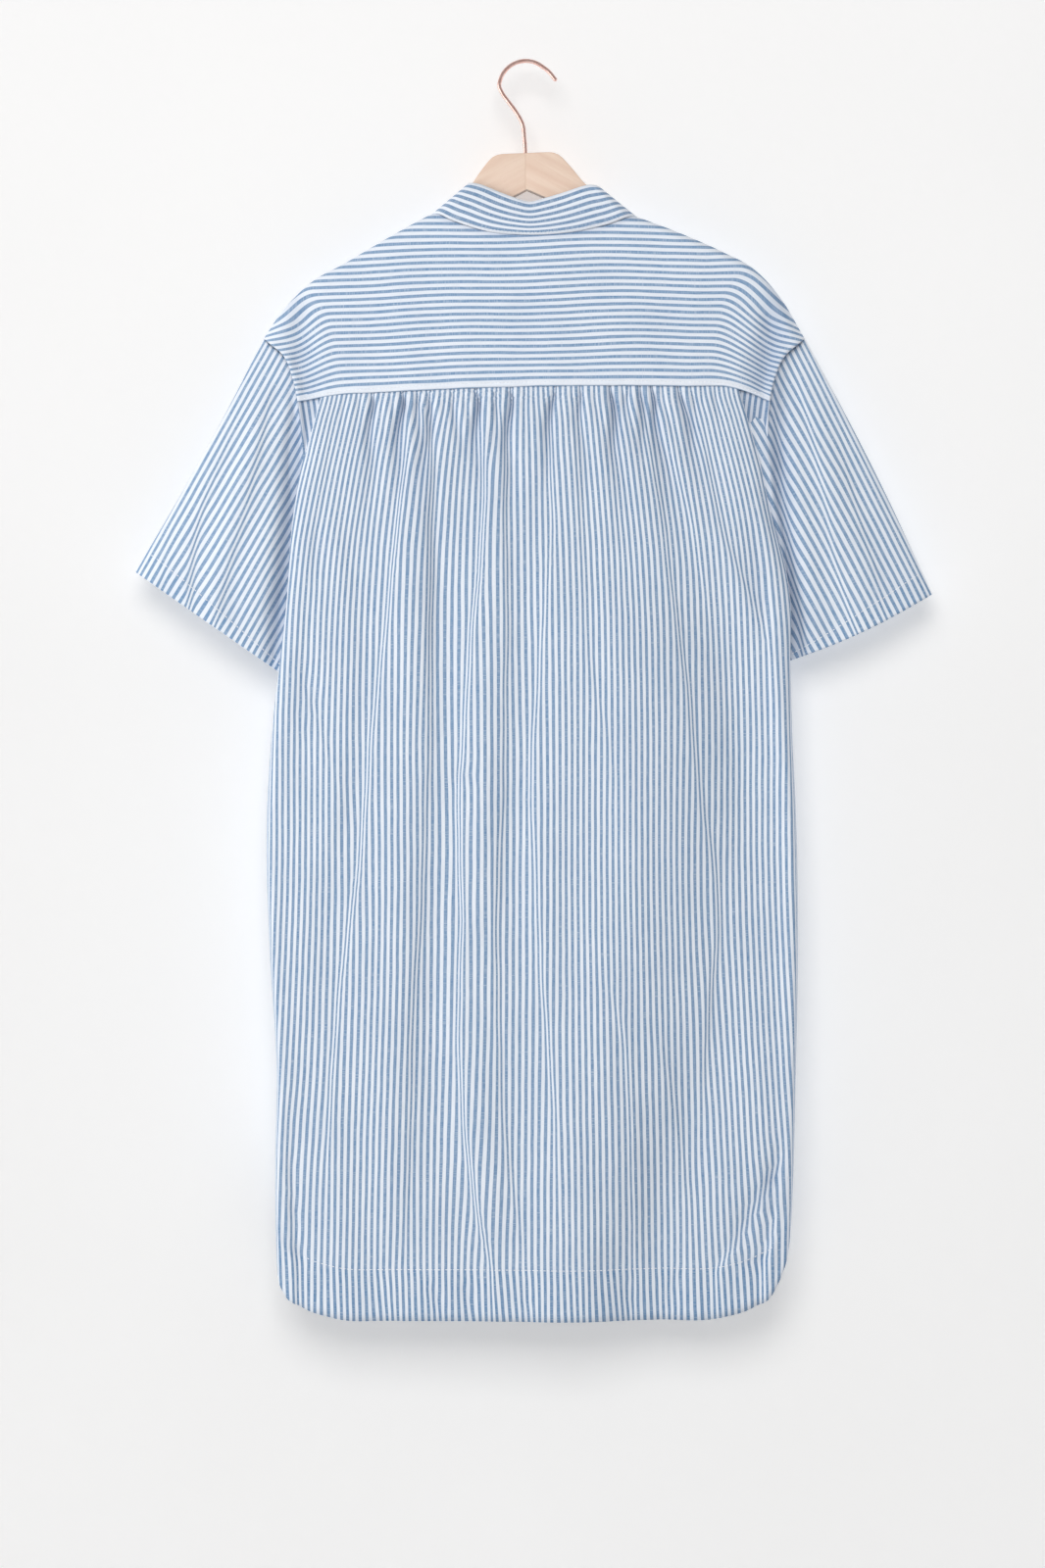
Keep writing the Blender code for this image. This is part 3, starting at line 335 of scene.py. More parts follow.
# Creases: short soft troughs, each from one point to another, at a piece's own x and z.
CREASE_COLUMNS = "x0 z0 x1 z1 deep wide"
CREASE_FADE = 0.35  # the share of its length over which a crease fades out at each end
BACK_CREASES = table(CREASE_COLUMNS, [
    (-240, -560, -190, -640, 1.4, 7),
    (-235, -600, -196, -668, 1.5, 6),
    (-74, -672, -58, -700, 1.4, 5),
    (-66, -690, -40, -684, 1.0, 5),
    (-96, -1168, -77, -1204, 1.8, 4),
    (-63, -1168, -48, -1204, 1.6, 4),
    (-2, -1172, 4, -1200, 1.2, 4),
    (92, -1170, 104, -1200, 1.5, 5),
    (-240, -1050, -214, -1078, 1.4, 5),
    (-238, -1090, -212, -1112, 1.4, 5),
    (-236, -1126, -206, -1150, 1.6, 5),
    (246, -1056, 224, -1082, 1.6, 4),
    (250, -1086, 222, -1108, 1.8, 4),
    (244, -1116, 214, -1132, 1.8, 4),
    (236, -1146, 204, -1156, 1.6, 4),
    (150, -1150, 132, -1196, 1.2, 5),
    (180, -1010, 150, -1100, 1.2, 9),
    (-214, -420, -196, -520, 1.6, 8),
    (210, -420, 232, -560, 2.2, 9),
    (262, -1030, 186, -1152, 3.4, 4.5),
])
YOKE_CREASES = table(CREASE_COLUMNS, [
    (-229, -190, -205, -350, 3.0, 8),
    (247, -180, 223, -355, 4.2, 10),
    (-238, -296, -196, -272, 1.0, 6),
    (-224, -314, -180, -300, 1.3, 5),
    (-221, -322, -192, -312, 1.0, 4),
    (-170, -230, -150, -300, 0.8, 12),
    (246, -292, 214, -262, 1.5, 5),
    (242, -306, 206, -274, 1.6, 5),
    (237, -318, 204, -290, 1.5, 5),
    (256, -280, 222, -240, 1.4, 6),
    (120, -300, 138, -220, 0.7, 14),
    (0, -200, 10, -300, 0.6, 16),
])
SLEEVE_HEIGHTS = (-240, -270, -330, -390, -450, -510, -570, -630, -690)
SLEEVE_FOLDS = {
    "left": table(FOLD_COLUMNS, [
        (7.0, 1.9, 12, -290, -760, -250, -255, -277, -298, -316, -323, -330, -330, -330),
        (5.5, 1.7, 11, -300, -740, -230, -236, -248, -261, -275, -290, -304, -304, -304),
        (2.0, 0.8, 12, -400, -740, -350, -350, -350, -344, -346, -352, -360, -360, -360),
    ]),
    "right": table(FOLD_COLUMNS, [
        (7.0, -1.7, 10, -300, -760, 234, 236, 238, 245, 252, 259, 266, 266, 266),
        (5.0, -1.4, 14, -290, -740, 250, 258, 268, 280, 290, 304, 322, 322, 322),
        (3.0, 0.8, 13, -350, -740, 300, 300, 300, 308, 322, 338, 352, 352, 352),
    ]),
}
SLEEVE_CREASES = {
    "left": table(CREASE_COLUMNS, [
        (-226, -300, -262, -360, 1.6, 6),
        (-222, -330, -236, -420, 2.0, 6),
        (-206, -220, -252, -690, 8.0, 7),
        (-300, -470, -270, -560, 1.4, 8),
        (-360, -500, -330, -520, 1.0, 6),
        (-230, -500, -262, -560, 1.5, 7),
    ]),
    "right": table(CREASE_COLUMNS, [
        (244, -292, 286, -380, 1.6, 7),
        (238, -316, 262, -380, 1.8, 5),
        (240, -350, 256, -440, 1.5, 5),
        (226, -220, 270, -690, 7.0, 9),
        (330, -430, 350, -520, 1.2, 9),
        (262, -520, 300, -560, 1.3, 7),
    ]),
}


def ease(t):
    """0 to 1 with a level start and end."""
    t = np.clip(t, 0.0, 1.0)
    return t * t * (3 - 2 * t)


def smooth(at, places, values):
    """Reads a curve that runs smoothly through a table's rows."""
    places, values = np.asarray(places, float), np.asarray(values, float)
    if places[0] > places[-1]:
        places, values = places[::-1], values[::-1]
    slopes = np.gradient(values, places)
    at = np.clip(np.asarray(at, float), places[0], places[-1])
    row = np.clip(np.searchsorted(places, at) - 1, 0, len(places) - 2)
    span = places[row + 1] - places[row]
    t = (at - places[row]) / span
    bend = t * (1 - t) * span * (slopes[row] * (1 - t) - slopes[row + 1] * t)
    step = values[row + 1] - values[row]
    return values[row] + step * ease(t) + bend


def read(rows, column, at, by="z"):
    """A table's column at a place of its first column."""
    return smooth(at, rows[by], rows[column])


def height_at(rows, x):
    return read(rows, "z", x, by="x")


def from_left(rows, share):
    """x at a share of the width that a table's rows cover."""
    return rows["x"][0] + (rows["x"][-1] - rows["x"][0]) * share


def run_along(x, y):
    """The distance along a line to each of its points."""
    return np.concatenate([[0], np.cumsum(np.hypot(np.diff(x), np.diff(y)))])


def waver(z, k, reach, length, start):
    """A slow wave down the cloth, which starts elsewhere for each fold."""
    return reach * np.sin(z / length + start * k)


def together(*values):
    """Points, or other rows, from one list for each of their coordinates."""
    return np.stack(values, axis=-1)


def level_cloth(x, z):
    """No relief, at each of these places."""
    return np.zeros(np.broadcast(x, z).shape)


def trough(t):
    """A soft hollow, 1 deep."""
    return -np.exp(-0.5 * t * t)


def flank(t):
    """A ridge on the left, a steep side and a trough on the right."""
    return -t * np.exp(0.5 - 0.5 * t * t)


def pinched(t, narrow, hides):
    """The cloth that a pinch has hidden by each place across it, made up for by the cloth at its sides."""
    return 0.5 * hides * (np.tanh(t / narrow) - np.tanh(t / (narrow + SPARED)))


def fold_relief(x, z, folds, heights=FOLD_HEIGHTS):
    """How far long folds lift the cloth, and the cloth that they have hidden by each place across it."""
    lift = level_cloth(x, z)
    hidden = np.zeros_like(lift)
    for k in range(len(folds["hides"])):
        places = [folds[f"x{n}"][k] for n in range(len(heights))]
        middle = smooth(z, heights, places)
        for bends in FOLD_WANDER:
            middle = middle + waver(z, k, *bends)
        shown = ease((folds["top"][k] - z) / FOLD_GROWTH) * ease((z - folds["end"][k]) / FOLD_FADE)
        hides = folds["hides"][k] * shown * (1 + waver(z, k, *FOLD_UNEVEN["hides"]))
        step = folds["step"][k] * shown * (1 + waver(z, k, *FOLD_UNEVEN["step"]))
        off = x - middle
        narrow = PINCH_WIDE * (0.6 + 0.4 * shown)
        lift += step * flank(off / folds["wide"][k])
        lift += np.sign(folds["step"][k]) * PINCH_DEPTH * hides * flank(off / narrow)
        hidden += pinched(off, narrow, hides)
    return lift, hidden


def crease_relief(x, z, rows):
    """How far short creases lower the cloth. Each fades out at its two ends."""
    lift = level_cloth(x, z)
    for k in range(len(rows["deep"])):
        start = rows["x0"][k], rows["z0"][k]
        run = np.array([rows["x1"][k] - start[0], rows["z1"][k] - start[1]])
        length = np.hypot(*run)
        along = ((x - start[0]) * run[0] + (z - start[1]) * run[1]) / length
        beside = ((x - start[0]) * run[1] - (z - start[1]) * run[0]) / length
        fade = CREASE_FADE * length
        shown = ease(along / fade) * ease((length - along) / fade)
        lift -= rows["deep"][k] * shown * np.exp(-0.5 * (beside / rows["wide"][k]) ** 2)
    return lift


def slack(x, z, phase=0.0):
    """The soft unevenness of cloth that hangs free."""
    wave = 0.55 * np.sin(x / 11.0 + 1.3 * np.sin(z / 83.0 + phase) + phase)
    wave += 0.45 * np.sin(x / 17.0 - z / 71.0 + 2.1 + phase)
    wave += 0.35 * np.sin(x / 7.3 + z / 59.0 + 0.7 + 1.9 * phase)
    wave += 0.30 * np.sin(z / 23.0 + x / 31.0 + 4.0)
    return wave


def gather_relief(x, z):
    """The narrow troughs that hang from the gathered yoke seam, and the cloth that they hide."""
    below = height_at(YOKE_SEAM, x) - z
    down = np.clip(below, 0, None)
    lift = level_cloth(x, z)
    hidden = np.zeros_like(lift)
    for k in range(len(GATHERS["x"])):
        lean = GATHERS["lean"][k] + GATHER_LEANS * np.sin(5.3 * k)
        sway = GATHER_SWAY * np.sin(down / 13 + 2 * k) * ease(down / 16)
        middle = GATHERS["x"][k] + lean * down / 100 + sway
        wide = GATHER_WIDE * (1 + down / GATHER_SPREAD)
        hides = GATHERS["hides"][k] * np.exp(-((down / GATHERS["length"][k]) ** 1.6))
        off = x - middle
        lift += GATHER_DEEP * hides * trough(off / (1.2 * wide)) * (0.3 + 0.7 * ease(down / GATHER_RISE))
        hidden += 0.5 * hides * (np.tanh(off / wide) - np.tanh(off / (wide + 0.5 * SPARED)))
    return lift - 0.5 * ease(-below / 2.5), hidden


def tuck_relief(x, z):
    """How far the panel's corners lie back beside the armholes, how far each place is behind the folded edge
    there, and the corners' own cloth coordinate."""
    lift = level_cloth(x, z)
    behind = np.full_like(lift, IN_FRONT)
    corner = np.zeros_like(lift)
    for k in range(len(ARMHOLE_TUCKS["out"])):
        out, x0, z0, x1, z1, deep, slant = [ARMHOLE_TUCKS[name][k] for name in ARMHOLE_TUCKS]
        beyond = out * (x - (x0 + (x1 - x0) * (z - z0) / (z1 - z0)))
        lift -= deep * ease((z - z1 + 8) / 20) * ease(0.5 + beyond / 2.4)
        behind = np.maximum(behind, np.minimum(beyond, z - z1))
        corner = np.where(out * x > 0, TUCK_FULLNESS * (x + out * slant * (z0 - z)), corner)
    return lift, behind, corner


def body_edge(z, layer, row, side, angle):
    """One of the body's two edges at a height, from the fold's level part to the seam: x and y."""
    inward = 1.0 if side == "left" else -1.0
    fold, seam, seam_y = row[side + "_fold"], row[side + "_seam"], row[side + "_y"] * layer
    if z > UNDERARM:
        seam, seam_y = float(read(ARMHOLE, side, z)), float(read(ARMHOLE, "y", z))
    depth = (row["back"] if layer == BACK else row["front"]) * (1 - row["crown"])
    tuck = (seam - fold) * inward
    widest = np.pi / 2 - np.pi / 4 * min(abs(tuck) / TUCK_TURNS, 1)
    rounding = read(EDGE_ROUND, "corner", z) * (1 - np.sin(np.clip(angle / widest, 0, 1) * np.pi / 2))
    tucked = tuck * ease((angle - widest) / (np.pi / 2 - widest + 1e-6))
    x = fold + inward * (rounding + tucked)
    y = seam_y + (depth - seam_y) * np.cos(angle) ** (1 + 1.5 * ease((z - UNDERARM) / UNDERARM_BLEND))
    return x, y


def body_section(z, layer, middle=1400, turn=60):
    """One layer's line at a height, from the left seam to the right one: x, y, the cloth from the middle, how
    far each place lies behind a tuck's edge, the cloth coordinate there, and the painted shade, which grows
    with how deep in a gather or crease it lies, and behind a tuck's edge."""
    row = {name: float(read(BODY, name, z)) for name in BODY if name != "z"}
    depth = row["back"] if layer == BACK else row["front"]
    angle = np.linspace(0, np.pi / 2, turn)
    left_x, left_y = body_edge(z, layer, row, "left", angle)
    right_x, right_y = body_edge(z, layer, row, "right", angle)
    t = np.linspace(-1, 1, middle)
    across = left_x[0] + (right_x[0] - left_x[0]) * (t + 1) / 2
    level = depth * (1 - row["crown"] * t * t)
    x = np.concatenate([left_x[:0:-1], across, right_x[1:]])
    y = np.concatenate([left_y[:0:-1], level, right_y[1:]])
    run = run_along(x, y)
    counted = run - np.interp(MIDDLE, x, run)
    counted *= read(FULLNESS, "full", z) if layer == BACK else FRONT_FULLNESS
    from_seam = np.minimum(run, run[-1] - run)
    bare = np.zeros(turn - 1)
    inner = np.concatenate([bare, ease((1 - abs(t)) / SEAM_CALM), bare])
    free = ease((JOIN + 20 - z) / 60)
    if layer == BACK:
        lift, hidden = fold_relief(x, z, BACK_FOLDS)
        gathers, drawn_in = gather_relief(x, z)
        creases = crease_relief(x, z, BACK_CREASES)
        lift += gathers + creases + SLACKS["body"] * free * slack(x, z)
        hidden += drawn_in - 0.7 * creases
        tucks, behind, corner = tuck_relief(x, z)
        lift = lift * inner + tucks * ease(from_seam / 5)
        # Painted shade: darker at the bottoms of gathers and creases, and behind a tuck's edge
        shade = np.clip(-(0.7 * gathers + 0.8 * creases) / SHADE_FULL_DEPTH, 0, 1) ** 1.3 * inner
        shade = np.maximum(shade, 0.7 * ease(0.3 + behind / 4))
    else:
        lift, hidden = fold_relief(x, z, FRONT_FOLDS)
        lift = (lift + SLACKS["body"] * free * slack(x, z, 2.0)) * inner
        behind = corner = np.full_like(x, IN_FRONT)
        shade = np.zeros_like(x)
    return x, layer * (y + lift), counted + hidden * inner, behind, corner, shade


NECK_LEFT_SHARE, NECK_RIGHT_SHARE = [
    (x - SHOULDER["x"][0]) / (SHOULDER["x"][-1] - SHOULDER["x"][0]) for x in (NECK_LEFT, NECK_RIGHT)
]


class Layer:
    """The back or the front of the body: its points by the share of its width and the height."""

    def __init__(self, layer, top=-296.0, step=3.0, shares=1600):
        self.heights = np.arange(top, LOWEST - step, -step)
        self.shares = np.linspace(0, 1, shares)
        lines = []
        for z in self.heights:
            x, y, *across = body_section(z, layer)
            run = run_along(x, y)
            share = run / run[-1]
            lines.append([np.interp(self.shares, share, values) for values in (x, y, *across)])
        self.grids = np.array(lines).transpose(1, 0, 2)

    def at(self, share, z):
        """The values of body_section at these shares of the width and these heights."""
        step = self.heights[0] - self.heights[1]
        down = np.clip((self.heights[0] - z) / step, 0, len(self.heights) - 1.001)
        over = np.clip(share, 0, 1) * (len(self.shares) - 1.001)
        i, j = down.astype(int), over.astype(int)
        a, b = down - i, over - j
        found = []
        for grid in self.grids:
            upper = grid[i, j] * (1 - b) + grid[i, j + 1] * b
            lower = grid[i + 1, j] * (1 - b) + grid[i + 1, j + 1] * b
            found.append(upper * (1 - a) + lower * a)
        return found


LAYERS = {BACK: Layer(BACK), FRONT: Layer(FRONT)}


def hem_height(share, column):
    """The height of a hem at a share of the layer's width."""
    later = HEM_LEFT_LATER if column == "back" else 0.0
    return read(HEM, column, np.minimum(HEM_WIDTH * share - later, HEM_WIDTH * (1 - share)), by="along")


def upper_depth(x, z, layer):
    """How far the cloth stands from the middle plane on and above the level of the yoke seam."""
    line = height_at(SHOULDER, x)
    below = np.clip(line - z, 0, None)
    span = (x - CENTRE_FRONT) / UPPER_HALF_WIDTH
    deep = read(BODY, "back" if layer == BACK else "front", JOIN) * (1 - UPPER_CROWN * span * span)
    grown = SHOULDER_DEPTH + (deep - SHOULDER_DEPTH) * np.clip(below / (line - JOIN), 0, 1.2)
    return grown * np.sqrt(1 - (1 - np.clip(below / SHOULDER_ROUND, 0, 1)) ** 2)


def to_armhole(near, y, edge_z, layer):
    """Brings y to the armhole's edge, whose height is edge_z, as near goes to 1."""
    return y + ease(near) * (layer * read(ARMHOLE, "y", edge_z) - y)


def hem_fold(z, hem):
    """1 on the doubled cloth of a hem and 0 above its stitching."""
    return ease((hem + HEM_DEPTH - z) / HEM_EDGE + 0.5)


def back_panel_point(u, v):
    """u from the left seam to the right one, v from the yoke seam to the hem."""
    x = from_left(YOKE_SEAM, u)
    for _ in range(5):
        top = height_at(YOKE_SEAM, x) + UNDER_YOKE
        x = LAYERS[BACK].at(u, top)[0]
    hem = hem_height(u, "back")
    z = top + (hem - top) * v
    x, y, counted, behind, corner, shade = LAYERS[BACK].at(u, z)
    doubled = hem_fold(z, hem)
    place = together(x, y - HEM_STANDS * doubled, z)
    lean = 2.6 * np.cos(2.4 * (u - 0.3)) + 1.1 * np.sin(u * 31) + 0.8 * np.sin(u * 77 + 1)
    skew = doubled * lean * (z - hem - HEM_DEPTH) / HEM_DEPTH
    marks = together(doubled, shade)
    return place, together(counted + skew, -z, behind, corner), marks


def neck_side(side, z):
    """x of the neck seam on the front between the shoulder line and the front's corner."""
    k = 0 if side == "left" else 1
    along = np.linspace(NECK_CORNERS[k], NECK_SHOULDERS[k], 60)
    return np.interp(z, read(NECK, "z", along, by="along"), read(NECK, "x", along, by="along"))


def neck_height(x, front=False):
    """The height of the neck seam at the back of the neck, or at its front."""
    stretches = [(0, NECK_CORNERS[0]), (NECK_CORNERS[1], 1)] if front else [NECK_SHOULDERS]
    along = np.concatenate([np.linspace(start, end, 200) for start, end in stretches])
    line_x, line_z = read(NECK, "x", along, by="along"), read(NECK, "z", along, by="along")
    order = np.argsort(line_x)
    return np.interp(x, line_x[order], line_z[order])


def yoke_point(u, v):
    """u from the left armhole to the right one, v up the back to the shoulder line and down the front."""
    rise, fall = np.clip(v / YOKE_TURN, 0, 1), np.clip((v - YOKE_TURN) / (1 - YOKE_TURN), 0, 1)
    # The back, from its seam up to the shoulder line and the neck
    top_x = from_left(SHOULDER, u)
    top = height_at(SHOULDER, top_x)
    at_neck = (top_x > NECK_LEFT + 0.1) & (top_x < NECK_RIGHT - 0.1)
    top = np.where(at_neck, neck_height(top_x), top)
    seam = height_at(YOKE_SEAM, from_left(YOKE_SEAM, u))
    down = (1 - rise) ** 1.5
    z = top - (top - seam) * down
    side_z = ARMHOLE["z"][0] + (YOKE_SEAM["z"][0] - ARMHOLE["z"][0]) * down
    x = read(ARMHOLE, "left", side_z) * (1 - u) + read(ARMHOLE, "right", side_z) * u
    edge = 1 - np.minimum(u, 1 - u) / EDGE_SHARE
    creases = crease_relief(x, z, YOKE_CREASES)
    relief = (creases + SLACKS["yoke"] * slack(x, z, 1.0)) * ease((top - z) / YOKE_CALM)
    # Painted shade in the yoke's creases, and in a strip below the collar band
    shade = 0.8 * np.clip(-creases / SHADE_FULL_DEPTH, 0, 1) + 0.5 * at_neck * ease(1 - (top - z) / NECK_SHADE)
    relief = relief * ease(np.minimum(u, 1 - u) / 0.016)
    y = to_armhole(edge, -upper_depth(x, z, BACK), side_z, BACK) - relief
    y = y - 0.3 * ease((seam + YOKE_FOLD - z) / YOKE_FOLD)
    # Over the shoulders and down to the front's seam
    over = fall > 0
    front_x = np.interp(
        top_x,
        [SHOULDER["x"][0], NECK_LEFT, NECK_RIGHT, SHOULDER["x"][-1]],
        [*FRONT_YOKE_CORNER["left"], *reversed(FRONT_YOKE_CORNER["right"])],
    )
    front_z = height_at(FRONT_YOKE_SEAM, front_x)
    drop = fall**1.5
    x = np.where(over, top_x + (front_x - top_x) * drop, x)
    z = np.where(over, top + (front_z - top) * drop, z)
    for side, neck_x in (("left", NECK_LEFT), ("right", NECK_RIGHT)):
        near = ease(1 - abs(top_x - neck_x) / NECK_BLEND) * over
        x = x + near * (neck_side(side, z) - (neck_x + (FRONT_YOKE_CORNER[side][1] - neck_x) * drop))
    corner_z = ARMHOLE["z"][0] + (FRONT_YOKE_SEAM["z"][0] - ARMHOLE["z"][0]) * drop
    front_y = to_armhole(edge, upper_depth(x, z, FRONT), corner_z, FRONT)
    front_y = front_y + 0.6 * ease((front_z + 6 - z) / 6)
    y = np.where(over, front_y, y)
    # The stripes, counted up from the folded edge
    rise_z = np.where(over, 2 * top - z, z) - seam
    steep = 0
    for side, (most, reach) in DROOP.items():
        steep = steep + ease(1 - abs(x - read(ARMHOLE, side, side_z)) / reach) * most
    wave = 0.9 * np.sin(x / 27 + rise_z / 60) + 0.6 * np.sin(x / 49 + 2)
    droop = np.minimum(rise_z, DROOP_RISE) * steep * (1 - ease(1.6 * fall))
    across = rise_z + droop + wave * ease(rise_z / 40)
    across = np.where(rise_z < YOKE_EDGE, 0.35 * (rise_z - YOKE_EDGE), across - YOKE_EDGE)
    place = together(x, y, z)
    marks = together(0.6 * ease((YOKE_EDGE + 1 - rise_z) / 2), np.where(over, 0, shade))
    return place, together(across, x), marks


def front_point(side, u, v):
    """u from the armhole and side seam to the piece's edge at the centre front, v down to the hem."""
    inward = 1.0 if side == "left" else -1.0
    edge_x = CENTRE_FRONT + (UNDERLAP if side == "left" else BAND_WIDTH / 2 - BAND_SEAM)
    middle = front_share(edge_x)
    share = middle * u if side == "left" else 1 - (1 - middle) * u
    join_x, join_y, join_counted = LAYERS[FRONT].at(share, np.full_like(share, JOIN))[:3]
    outer, inner = FRONT_YOKE_CORNER[side]
    arm = float(read(ARMHOLE, side, JOIN))
    spots = [arm, inner, edge_x]
    order = slice(None, None, int(inward))
    top_x = np.interp(join_x, spots[order], [outer, inner, edge_x][order])
    at_neck = (top_x - inner) * inward > 0
    yoke_edge = height_at(FRONT_YOKE_SEAM, top_x) + UNDER_FRONT_YOKE
    top = np.where(at_neck, neck_height(top_x, front=True), yoke_edge)
    hem = hem_height(share, "front")
    z = top + (hem - top) * v
    # Above the join the front narrows to the yoke's seam and the neck
    lift = np.clip((z - JOIN) / (top - JOIN), 0, 1)
    edge_z = JOIN + (FRONT_YOKE_SEAM["z"][0] - JOIN) * lift
    at_arm = ease(1 - u / EDGE_SHARE)
    upper_x = join_x + (top_x - join_x) * lift
    upper_x = upper_x + at_arm * (read(ARMHOLE, side, edge_z) - (arm + (outer - arm) * lift))
    upper_y = upper_depth(upper_x, z, FRONT)
    upper_y = upper_y + (join_y - upper_depth(join_x, JOIN, FRONT)) * (1 - lift) ** 2
    upper_y = to_armhole(1 - u / EDGE_SHARE, upper_y, edge_z, FRONT)
    x, y, counted = LAYERS[FRONT].at(share, z)[:3]
    x, y = np.where(z > JOIN, upper_x, x), np.where(z > JOIN, upper_y, y)
    counted = np.where(z > JOIN, join_counted + upper_x - join_x, counted)
    if side == "right":
        y = y + (LAP - 0.1) * ease((edge_x + 3 * BAND_SEAM - x) / BAND_SEAM)
    doubled = hem_fold(z, hem)
    place = together(x, y + HEM_STANDS * doubled, z)
    return place, together(counted, -z), doubled


def front_share(x):
    """The share of the front's width at which it passes this x, at the level of the join."""
    shares = np.linspace(0.2, 0.8, 400)
    line = LAYERS[FRONT].at(shares, np.full_like(shares, JOIN))[0]
    return float(np.interp(x, line, shares))


def front_surface(x, z):
    """y of the front's cloth at any point between the armholes."""
    shares = np.linspace(0.05, 0.95, 700)
    found = []
    for px, pz in zip(np.ravel(x), np.ravel(z)):
        if pz > JOIN:
            found.append(float(upper_depth(px, pz, FRONT)))
        else:
            line_x, line_y = LAYERS[FRONT].at(shares, np.full_like(shares, pz))[:2]
            found.append(float(np.interp(px, line_x, line_y)))
    return np.reshape(found, np.shape(x))


def placket_point(u, v):
    """A straight strip down the centre front, on the outside of the left front."""
    x = CENTRE_FRONT + BAND_WIDTH * (u - 0.5)
    top = neck_height(x, front=True)
    z = top + (read(HEM, "front", 150, by="along") - top) * v
    place = together(x, front_surface(x, z) + 2 * LAP - 0.1, z)
    return place, together(x + PLACKET_CUT, -z), np.full_like(u, 0.5)


def band_point(u, v):
    """u along the band from its left end round the back, v from the neck seam up to its top edge."""
    x, z = read(NECK, "x", u, by="along"), read(NECK, "z", u, by="along")
    behind = (u > NECK_SHOULDERS[0]) & (u < NECK_SHOULDERS[1])
    y = np.where(behind, -upper_depth(x, z, BACK), upper_depth(x, z, FRONT))
    foot = together(x, y, z)
    top = together(*[read(BAND_TOP, name, u, by="along") for name in "xyz"])
    place = foot + (top - foot) * v[:, None]
    left_end, right_end = ease(1 - u / 0.04), ease((u - 0.96) / 0.04)
    place[:, 0] += UNDERLAP * left_end - BAND_WIDTH / 2 * right_end
    place[:, 1] += (LAP + 0.5) * ease((u - 0.93) / 0.03)
    outward = np.where(behind, -1.0, 1.0) * np.minimum(abs(foot[:, 1]) / 8, 1)
    place[:, 1] += outward * (BAND_BELLY * np.sin(np.pi * v) * (1 - 0.4 * v) + 1.9 * (1 - v) ** 3)
    nape = ease(1 - abs(u - 0.5) / 0.14)
    from_top = BAND_HEIGHT * ((1 - 0.25 * nape) * (1 - v) + 0.25 * nape * (1 - v) ** 2)
    return place, together(from_top, u * BAND_LENGTH), np.full_like(u, 0.3)


def sleeve_point(side, u, v):
    """u round the sleeve from the underarm up the front and down the back, v from the armhole to the cuff."""
    sleeve = SLEEVES[side]
    out = sleeve["out"]
    layer = np.where(u >= 0.5, BACK, FRONT)
    down = abs(2 * u - 1)
    z = ARMHOLE["z"][0] + (UNDERARM - ARMHOLE["z"][0]) * down**1.15
    x = read(ARMHOLE, side, z) - out * SLEEVE_SEAM * ease(down / 0.12)
    seam_y = np.minimum(read(ARMHOLE, "y", z), 8 * np.sqrt(down)) - SLEEVE_UNDER * ease(down / 0.05)
    if side == "right":
        reach = np.where(layer == BACK, np.interp(z, SLEEVE_REACH["z"], SLEEVE_REACH["over"]), 0)
        x, seam_y = x - reach, seam_y + 0.12 * reach
    arm = together(x, layer * np.clip(seam_y, 0, None), z)
    arm[:, 0] += out * 1.1 * ease((down - 0.7) / 0.2)
    # The cuff, and straight lines to it from the armhole
    outer, inner = np.array(sleeve["outer"], float), np.array(sleeve["inner"], float)
    along = (inner - outer) / np.hypot(*(inner - outer))
    line = outer + (inner - outer) * down[:, None]
    line += sleeve["cuff_bow"] * np.sin(np.pi * down)[:, None] * np.array([along[1], -along[0]]) * -out
    thick = CUFF_DEPTH * np.sqrt(np.clip(1 - abs(2 * down - 1) ** 3.4, 0, 1))
    cuff = together(line[:, 0], layer * thick, line[:, 1])
    place = arm + (cuff - arm) * v[:, None]
    swell = np.sin(np.pi * v)
    place[:, 1] += layer * SLEEVE_BELLY * swell * np.sin(np.pi * down)
    place[:, 0] += out * sleeve["edge_bow"] * swell * (1 - down) ** 2
    # Folds and creases, which never bring the two layers through each other
    x, z = place[:, 0], place[:, 2]
    inside = ease(down / 0.16) * ease((1 - down) / 0.12) * ease(v / 0.05)
    relief, hidden = fold_relief(x, z, SLEEVE_FOLDS[side], SLEEVE_HEIGHTS)
    relief = relief * ease((1.15 - v) / 0.3)
    creases = crease_relief(x, z, SLEEVE_CREASES[side])
    relief += creases + SLACKS["sleeve"] * slack(x, z, 3.0)
    # Painted shade in the sleeve's creases, weaker on the front layer
    shade = np.clip(-creases / (1.6 * SHADE_FULL_DEPTH), 0, 1) * np.where(layer == BACK, 1.0, 0.4)
    doubled = ease((v - (1 - CUFF_DOUBLED)) / 0.012 + 0.5)
    level = place.copy()
    relief *= np.where(layer == BACK, 1.0, 0.5)
    thick = abs(place[:, 1])
    room = ease(down / 0.1) * ease((1 - down) / 0.06)
    over = ease(1 - out * (x - read(ARMHOLE, side, z)) / 9) * (layer == BACK) * (side == "right")
    least = np.maximum(np.minimum(thick, 0.8 * room), (thick - 0.4) * over)
    place[:, 1] = layer * np.maximum(thick + (relief + 0.3 * doubled) * inside, least)
    return place, level, out * layer * hidden * inside, together(doubled, shade)


def sleeve_coordinates(side, place, columns, rows):
    """Cloth coordinates of a sleeve's grid: across the stripes, from the upper edge round, and along them."""
    sleeve = SLEEVES[side]
    start = np.array([ARMHOLE[side][0], ARMHOLE["z"][0]])
    run = np.array(sleeve["outer"], float) - start
    run /= np.hypot(*run)
    beside = np.array([-run[1], run[0]]) * -sleeve["out"]
    grid = place.reshape(rows, columns, 3)
    flat = grid[:, :, [0, 2]] - start
    over, along = flat @ beside, flat @ run
    layer = np.where(np.arange(columns) < columns // 2, FRONT, BACK) * BACK
    across = layer * (over + 3 * (1 - np.exp(-np.clip(over, 0, None) / 4)))
    return together(across.ravel(), along.ravel())


